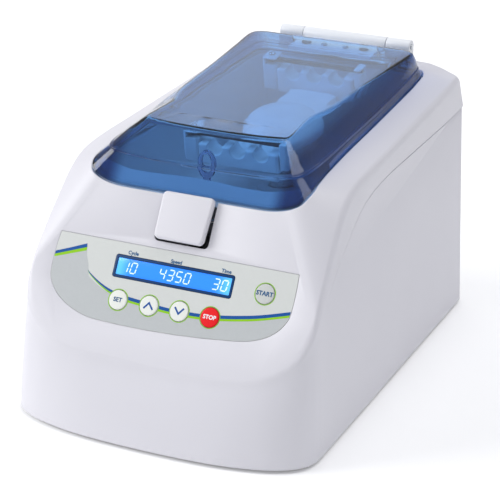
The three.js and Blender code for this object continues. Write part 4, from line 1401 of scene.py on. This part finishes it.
@dataclass
class Latch:
    """Sprung tab over the front of the lid, and its pin.

    Args:
        finishes: the object's finishes.
        top_width: width of the tab at its upper edge.
        low_width: width at its lower edge.
        low: lower edge up the panel.
        high: upper edge up the panel.
        thick: thickness of the face.
        lift: height of its underside over the panel at mid height.
        wedge: tilt that makes the lower edge stand proud, in degrees.
    """

    finishes: Finishes
    top_width: float = 41.0
    low_width: float = 38.6
    low: float = 29.3
    high: float = 64.2
    thick: float = 4.4
    lift: float = 1.3
    wedge: float = 3.0

    def build(self) -> None:
        """Makes the tab with its arm, and the pin."""
        tall = self.high - self.low
        outline = rounded_rect(self.top_width, tall, 3.6, 8)
        up = outline[:, 1:] / tall + 0.5
        taper = self.low_width / self.top_width
        outline[:, :1] *= taper + up * (1 - taper)
        face = slab(outline, self.lift, self.lift + self.thick, 1.7, 0.6, 6)
        tipped = Matrix.Rotation(-math.radians(self.wedge), 4, "X")
        face = face.placed(Matrix.Translation((0, self.low + tall / 2, 0)) @ tipped)
        arm = slab(rounded_rect(20, 14, 1.5), -13.5, 3.0).moved(0, LATCH_PIVOT[1], 0)
        across = Matrix.Rotation(math.pi / 2, 4, "Y")
        bore = lathe([(0, -30), (1.7, -30), (1.7, 30), (0, 30)])
        bore = bore.placed(Matrix.Translation(LATCH_PIVOT) @ across)
        tab = worked(face, [(Cut.JOIN, arm), (Cut.REMOVE, bore)])
        finish = self.finishes.abs
        settle(tab, "finger_tab", "latch", finish, panel_frame(), ["latch_tab"], 42)
        pin = lathe(eased([(0, -27), (1.6, -27), (1.6, 27), (0, 27)], 0.4))
        at = panel_frame() @ Matrix.Translation(LATCH_PIVOT) @ across
        settle(pin, "tab_pin", "housing", self.finishes.steel, at, ["latch_pin"])


@dataclass
class ControlPanel:
    """Printed film, backlit display, keys and their legends.

    Args:
        finishes: the object's finishes.
        pane: width and height of the display pane.
        border: width of the dark frame round the pane.
        digit: height of a digit.
        label: size of the small words over the display.
    """

    finishes: Finishes
    pane: tuple[float, float] = (91.4, 12.8)
    border: float = 1.8
    digit: float = 7.6
    label: float = 3.7

    def print_patch(
        self, outline: Sequence, high: float, name: str, finish: bpy.types.Material
    ) -> None:
        """Prints a patch on the film, kept off its edge and off the keys."""
        patch = slab(np.array(outline), -0.05, high)
        steps = [(Cut.KEEP, slab(film_outline(-0.25), -1, 2))]
        for x, y in KEYS.values():
            steps.append((Cut.REMOVE, slab(circle(8.0), -3, 3).moved(x, y, 0)))
        settle(worked(patch, steps), name, "housing", finish, panel_frame())

    def stripe_band(self, start: float, depth: float) -> list[np.ndarray]:
        """Returns a band under the stripe's upper edge that thins to nothing at its left end."""
        line = smooth_line(STRIPE)
        grow = [min(1.0, 0.1 + i / 26) for i in range(len(line))]
        upper = [p - (0, start * g) for p, g in zip(line, grow)]
        lower = [p - (0, (start + depth) * g) for p, g in zip(line, grow)]
        return lower + upper[::-1]

    def film(self) -> None:
        """Makes the film and what is printed on it."""
        w, h = (size + 2 * self.border + 0.6 for size in self.pane)
        cuts = [(Cut.REMOVE, slab(rounded_rect(w, h, 2), -3, 3).moved(0, PANE_Y, 0))]
        for x, y in KEYS.values():
            cuts.append((Cut.REMOVE, slab(circle(KEY_R + 0.35), -3, 3).moved(x, y, 0)))
        sheet = worked(slab(film_outline(0), -0.8, 0), cuts)
        film, at = self.finishes.film, panel_frame()
        settle(sheet, "panel_film", "housing", film, at, ["control_overlay"])
        line = smooth_line(STRIPE)
        shade = [(-110, -50), (110, -50), (110, line[-1][1] - 3)]
        shade += [tuple(p - (0, 3)) for p in reversed(line[4:])]
        shade += [(-68.5, 2.6), (-71.2, 8.6), (-72.9, 14.9), (-73.6, 14.2), (-97.4, 5), (-110, 2)]
        green, blue = self.finishes.green_ink, self.finishes.blue_ink
        self.print_patch(shade, 0.05, "film_shade", self.finishes.film_dark)
        self.print_patch(self.stripe_band(2.0, 2.0), 0.09, "film_stripe_green", green)
        self.print_patch(self.stripe_band(0.0, 2.35), 0.13, "film_stripe_blue", blue)
        short = [
            (-101, 3.3), (-97, 5.4), (-72.6, 14.4), (-73.1, 17), (-85, 12.2), (-97.7, 7.4),
            (-101, 6.2),
        ]
        low = [(-101, 1.8), (-96.9, 3.4), (-72.4, 11.9), (-72.5, 14.6), (-97, 5.6), (-101, 4)]
        self.print_patch(low, 0.09, "film_dash_green", green)
        self.print_patch(short, 0.13, "film_dash_blue", blue)
        spots = [(x, y, 0.02) for x, y in KEYS.values()]
        sizes = {"Radius": KEY_R + 0.72, "Width": 0.55, "Height": 0.1, "Material": green}
        rings = grown("key_rings", spots, print_ring_tree(), sizes)
        settle(rings, "key_rings", "housing", green, at)
        ink = self.finishes.label_ink
        for words, x, y in (("Cycle", -34.6, 16.1), ("Speed", 0.3, 15.6), ("Time", 40.1, 15.7)):
            name = f"label_{words.lower()}"
            self.letters(words, x, y, 0.0, self.label, name, "housing", ink)

    def letters(
        self,
        words: str,
        x: float,
        y: float,
        z: float,
        size: float,
        name: str,
        body: str,
        finish: bpy.types.Material,
    ) -> None:
        """Sets a word in thin raised print.

        Args:
            words: what it says.
            x: its middle across the panel.
            y: its middle up the panel.
            z: the surface that it stands on.
            size: height of the type.
            name: name of the piece.
            body: body it rides on.
            finish: its material.
        """
        curve = bpy.data.curves.new(name, "FONT")
        curve.body = words
        curve.size = size
        curve.align_x, curve.align_y = "CENTER", "CENTER"
        curve.extrude = 0.03
        curve.offset = 0.032 * size
        curve.resolution_u = 4
        obj = bpy.data.objects.new(name, curve)
        bpy.context.scene.collection.objects.link(obj)
        mesh = evaluated_mesh(obj)
        at = panel_frame() @ Matrix.Translation((x, y, z + 0.03))
        settle(mesh, name, body, finish, at)

    def segments(self, digit: str, x: float) -> Shape | None:
        """Returns the lit bars of one slanted seven-segment digit whose middle is at x."""
        lit = {"0": "abcdef", "1": "bc", "3": "abcdg", "4": "bcfg", "5": "acdfg"}[digit]
        half, arm, thick = self.digit / 2, 2.1, 0.42
        bars = {
            "a": (0, half, 0), "g": (0, 0, 0), "d": (0, -half, 0), "b": (arm, half / 2, 1),
            "c": (arm, -half / 2, 1), "f": (-arm, half / 2, 1), "e": (-arm, -half / 2, 1),
        }
        made = None
        for key in lit:
            cx, cy, upright = bars[key]
            long = (half if upright else 2 * arm) / 2 - 0.22
            flat = long - thick
            pts = np.array([
                (-long, 0), (-flat, -thick), (flat, -thick), (long, 0), (flat, thick),
                (-flat, thick),
            ])
            if upright:
                pts = np.column_stack((-pts[:, 1], pts[:, 0]))
            pts = pts + (cx, cy)
            pts[:, 0] += 0.14 * pts[:, 1] + x
            bar = slab(pts, 0.0, 0.06)
            made = bar if made is None else made.plus(bar)
        return made

    def display(self) -> None:
        """Makes the border, the lit pane and its digits."""
        w, h = self.pane
        frame_outline = rounded_rect(w + 2 * self.border, h + 2 * self.border, 1.8)
        hole = slab(rounded_rect(w, h, 0.9), -4, 4)
        border = worked(slab(frame_outline, -2, 0.2, 0.35), [(Cut.REMOVE, hole)])
        at = panel_frame() @ Matrix.Translation((0, PANE_Y, 0))
        navy, glow = self.finishes.navy_ink, self.finishes.backlight
        settle(border, "display_border", "housing", navy, at, ["display_bezel"])
        pane = slab(rounded_rect(w - 0.5, h - 0.5, 0.7), -1.8, -0.4, 0.1)
        settle(pane, "display_pane", "housing", glow, at, ["display_window"])
        digits = None
        for words, start in (("10", -38.6), ("4350", -8.6), ("30", 34.2)):
            for i, digit in enumerate(words):
                shape = self.segments(digit, start + 6.6 * i)
                digits = shape if digits is None else digits.plus(shape)
        lit = digits.moved(0, 0, -0.38)
        settle(lit, "display_digits", "housing", self.finishes.segment, at)
        dark, mask = self.finishes.dark, self.finishes.board
        follow("display_module", 0.5, "display_case", "housing", dark)
        follow("key_board", 0.2, "switch_board", "housing", mask)

    def keys(self) -> None:
        """Makes the key caps and their legends."""
        finishes = {"stop": self.finishes.red_key, "start": self.finishes.grey_key}
        slots = {"stop": "stop_key", "start": "start_key"}
        profile = [(0, -3.4), (KEY_R, -3.4), (KEY_R, 0.45), (KEY_R - 0.7, 0.8), (0, 0.9)]
        for key, (x, y) in KEYS.items():
            body, slot = f"{key}_key", slots.get(key, "pale_keys")
            at = panel_frame() @ Matrix.Translation((x, y, 0))
            finish = finishes.get(key, self.finishes.pale_key)
            cap = lathe(eased(profile, 0.4))
            settle(cap, f"{key}_cap", body, finish, at, [f"{key}_button"])
            if key in ("up", "down"):
                side = 1 if key == "up" else -1
                wide = [(-3.1, -2.9), (0, 0.9), (3.1, -2.9), (4.1, -2.1), (0, 2.9), (-4.1, -2.1)]
                wide = [(a, b * side) for a, b in wide]
                arrow = slab(np.array(wide if side > 0 else wide[::-1]), 0.86, 0.97)
                settle(arrow, f"{key}_arrow", body, self.finishes.blue_ink, at)
            else:
                ink = self.finishes.white_ink if key == "stop" else self.finishes.label_ink
                size = {"set": 4.4, "stop": 4.2, "start": 4.4}[key]
                self.letters(key.upper(), x, y, 0.88, size, f"{key}_legend", body, ink)

    def build(self) -> None:
        """Makes the film, the display and the keys."""
        self.film()
        self.display()
        self.keys()


# ---------------------------------------------------------------- drive and carrier


@dataclass
class Drive:
    """Motor with its bracket and posts, the shaft and its counterweight.

    Args:
        finishes: the object's finishes.
        ribs: number of cooling ribs.
        motor_radius: radius of the motor.
        post_reach: how far each rubber post stands from the shaft, across and along.
    """

    finishes: Finishes
    ribs: int = 36
    motor_radius: float = 42.0
    post_reach: float = 50

    def build(self) -> None:
        """Makes every piece of the drive."""
        r = self.motor_radius - 1.2
        profile = [
            (8.4, 98), (8.4, 22), (0, 22), (0, 12), (r - 3, 12), (r, 15), (r, 95), (r - 3, 98),
            (8.4, 98),
        ]
        at, enamel = spot(0, DRIVE_D, 0), self.finishes.motor
        settle(lathe(profile, 96), "motor_can", "housing", enamel, at, ["motor_body"])
        ring = [(x, y, 55.0) for x, y in circle(self.motor_radius - 1.3, self.ribs)]
        sizes = {"Radius": 1.2, "Height": 72.0, "Material": enamel}
        ribs = grown("motor_ribs", ring, rib_tree(), sizes)
        settle(ribs, "motor_ribs", "housing", enamel, at)
        bright, cast = self.finishes.aluminium, self.finishes.cast
        follow("motor_bracket", 0.6, "cross_plate", "housing", bright)
        follow("counterweight", 0.6, "balance_weight", "rotor", cast)
        rubber, far = self.finishes.rubber, self.post_reach
        for i, (x, y) in enumerate(((-far, -far), (far, -far), (-far, far), (far, far)), 1):
            profile = [(0, 3.8), (7, 3.8), (7, 12), (6, 14), (6, 88), (7, 90), (7, 98), (0, 98)]
            post = lathe(eased(profile, 0.8), 40)
            under = Matrix.Translation((x, REAR_Y - DRIVE_D + y, FOOT_H))
            node = f"isolation_post_{i}"
            settle(post, f"rubber_post_{i}", "housing", rubber, under, [node])
        shaft = [(0, 23), (8, 23), (8, 170.1), (6.5, 171.6), (0, 171.6)]
        rod, steel = lathe(eased(shaft, 0.4)), self.finishes.steel
        settle(rod, "shaft_rod", "rotor", steel, at, ["drive_shaft"])


@dataclass
class Carrier:
    """Tilting tube carrier: hub dome, cradled racks, bar posts, pins, bars and catches.

    Args:
        finishes: the object's finishes.
        rack_half: half the depth of a rack.
        pin_x: where the pins stand across the carrier.
        pin_top: height of a bar's upper face.
    """

    finishes: Finishes
    rack_half: float = 8
    pin_x: float = -39.5
    pin_top: float = 8.6

    def build(self) -> None:
        """Makes every piece of the carrier."""
        acetal = self.finishes.acetal
        profile = [
            (14, -26), (22, -26), (31, -20), (31, -15), (24, -8), (13, -4.5), (0, -4), (0, -10),
            (14, -10), (14, -26),
        ]
        dome = lathe(eased(profile, 2.2), 96)
        arm = RACK_REACH - self.rack_half - 0.3
        web = slab(rounded_rect(40, 2 * arm, 3), -19, -14, 1.2)
        ring = lathe([(14.5, -40), (60, -40), (60, -10), (14.5, -10), (14.5, -40)])
        hub = worked(dome, [(Cut.JOIN, web_ring(web, ring))])
        settle(hub, "hub_dome", "carrier", acetal, carrier_frame(), ["carrier_hub"], 44)
        parts = (("rack", "carrier", 0.8), ("bar_post", "carrier", 0.5), ("bar_clip", "clips", 0.4))
        dark = self.finishes.dark_steel
        for end in ("front", "rear"):
            for part, slot, width in parts:
                name = f"{end}_moulded_{part}"
                follow(f"{end}_{part}", width, name, "carrier", acetal)
            follow(f"{end}_retaining_bar", 0.3, f"{end}_bar", f"{end}_bar", dark)
            self.pin(end)

    def pin(self, end: str) -> None:
        """Makes the domed pin that one bar turns on."""
        top = self.pin_top
        side = -RACK_REACH if end == "front" else RACK_REACH
        profile = [
            (0, -4.5), (1.25, -4.5), (1.25, top + 0.3), (2.6, top + 0.3), (2.5, top + 1.2),
            (1.5, top + 1.9), (0, top + 2),
        ]
        at = carrier_frame() @ Matrix.Translation((self.pin_x, side, 0))
        pin, steel = lathe(eased(profile, 0.3), 48), self.finishes.steel
        settle(pin, f"{end}_domed_pin", "carrier", steel, at, [f"{end}_bar_pin"])


def web_ring(web: Shape, ring: Shape) -> Shape:
    """Returns the part of the web that lies outside the hub's bore."""
    mesh = worked(web, [(Cut.KEEP, ring)])
    points = np.array([v.co[:] for v in mesh.vertices])
    return Shape(points, [tuple(p.vertices) for p in mesh.polygons])


@dataclass
class PowerEntry:
    """Rear inlet with its blades, and the mains switch.

    Args:
        finishes: the object's finishes.
    """

    finishes: Finishes

    def build(self) -> None:
        """Makes the inlet, its blades, the switch frame and the rocker."""
        dark = self.finishes.dark
        for node, name in (("power_inlet", "inlet_body"), ("switch_frame", "switch_surround")):
            follow(node, 0.3, name, "housing", dark)
        blades = None
        for x, z in ((-7, -2.5), (7, -2.5), (0, 3)):
            blade = slab(rounded_rect(2, 4, 0.5, 3), 1.0, 14.0, 0.5).moved(x, z, -15.2)
            blades = blade if blades is None else blades.plus(blade)
        low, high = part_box("power_inlet")
        middle = (low + high) / 2 / MM
        turn = Matrix.Rotation(-math.pi / 2, 4, "X")
        at = Matrix.Translation((middle.x, high.y / MM, middle.z)) @ turn
        settle(blades, "inlet_blades", "housing", self.finishes.steel, at)
        follow("power_rocker", 0.3, "rocker_cap", "rocker", dark)


# ---------------------------------------------------------------- studio


@dataclass
class Studio:
    """Pale floor, soft lights, plain surroundings and the camera.

    Args:
        floor_size: side of the floor in metres.
        place: camera place in metres.
        tilt: camera tilt from straight down, in degrees.
        turn: camera turn about the vertical, in degrees.
        lens: focal length in millimetres on a 36 mm sensor.
        aim: the place that every lamp points at, in metres.
    """

    floor_size: float = 30.0
    place: tuple[float, float, float] = (0.65599, -1.33778, 0.68819)
    tilt: float = 68.146
    turn: float = 26.188
    lens: float = 151.27
    aim: tuple[float, float, float] = (0, 0, 0.1)

    def floor(self) -> None:
        """Makes the floor, a sheet with a faint paper mottle."""
        made, tree, where = blank("white_paper_sweep")
        mottle = noise(tree, where, 400)
        tone = blended(tree, mottle, "FCFCFC", "FDFDFD")
        sockets = {
            "Base Color": tone,
            "Roughness": 0.9,
            "Specular IOR Level": 0.1,
            "Emission Color": linear("FFFFFF"),
            "Emission Strength": 0.16,
        }
        coat(tree, sockets)
        half = self.floor_size / 2
        mesh = bpy.data.meshes.new("floor")
        corners = [(-half, -half, 0), (half, -half, 0), (half, half, 0), (-half, half, 0)]
        mesh.from_pydata(corners, [], [(0, 1, 2, 3)])
        mesh.materials.append(made)
        scratch(mesh, "floor")

    def lamp(self, name: str, place: Sequence[float], size: float, power: float) -> None:
        """Hangs a square soft light at a place, turned to the object."""
        light = bpy.data.lights.new(name, "AREA")
        light.shape = "SQUARE"
        light.size = size
        light.energy = power
        obj = bpy.data.objects.new(name, light)
        obj.location = place
        aim = Vector(self.aim) - Vector(place)
        obj.rotation_euler = aim.to_track_quat("-Z", "Y").to_euler()
        bpy.context.scene.collection.objects.link(obj)

    def build(self) -> None:
        """Makes the floor, the lights, the world and the camera."""
        self.floor()
        self.lamp("key_softbox", (-2.6, -1.3, 1.5), 2.0, 68)
        self.lamp("top_softbox", (0.5, 0.2, 2.35), 2.0, 25)
        self.lamp("rear_softbox", (-1.5, 3.0, 1.15), 2.6, 14)
        world = bpy.data.worlds.new("studio")
        world.use_nodes = True
        world.node_tree.nodes.clear()
        glow = {"Color": linear("F5F7FF"), "Strength": 0.43}
        sky = add(world.node_tree, "ShaderNodeBackground", glow)
        add(world.node_tree, "ShaderNodeOutputWorld", {"Surface": sky.outputs[0]})
        scene = bpy.context.scene
        scene.world = world
        scene.view_settings.view_transform = "Standard"
        camera = bpy.data.cameras.new("camera")
        camera.lens = self.lens
        camera.sensor_width = 36
        camera.clip_end = 50
        obj = bpy.data.objects.new("camera", camera)
        obj.location = self.place
        obj.rotation_euler = (math.radians(self.tilt), 0, math.radians(self.turn))
        scene.collection.objects.link(obj)
        scene.camera = obj


def main() -> None:
    """Builds the studio and every sub-assembly in order."""
    logging.basicConfig(level=logging.INFO, format="%(message)s")
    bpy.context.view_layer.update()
    finishes = Finishes()
    builders = [
        Studio(),
        Housing(finishes),
        Chamber(finishes),
        Lid(finishes),
        Latch(finishes),
        ControlPanel(finishes),
        Drive(finishes),
        Carrier(finishes),
        PowerEntry(finishes),
    ]
    for builder in builders:
        builder.build()
        LOG.info("built %s", type(builder).__name__)
    for obj in bpy.context.scene.objects:
        if "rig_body" in obj and obj.type == "MESH" and not obj.hide_render:
            LOG.info("piece %s: %d faces", obj.name, len(obj.data.polygons))


if __name__ == "__main__":
    main()
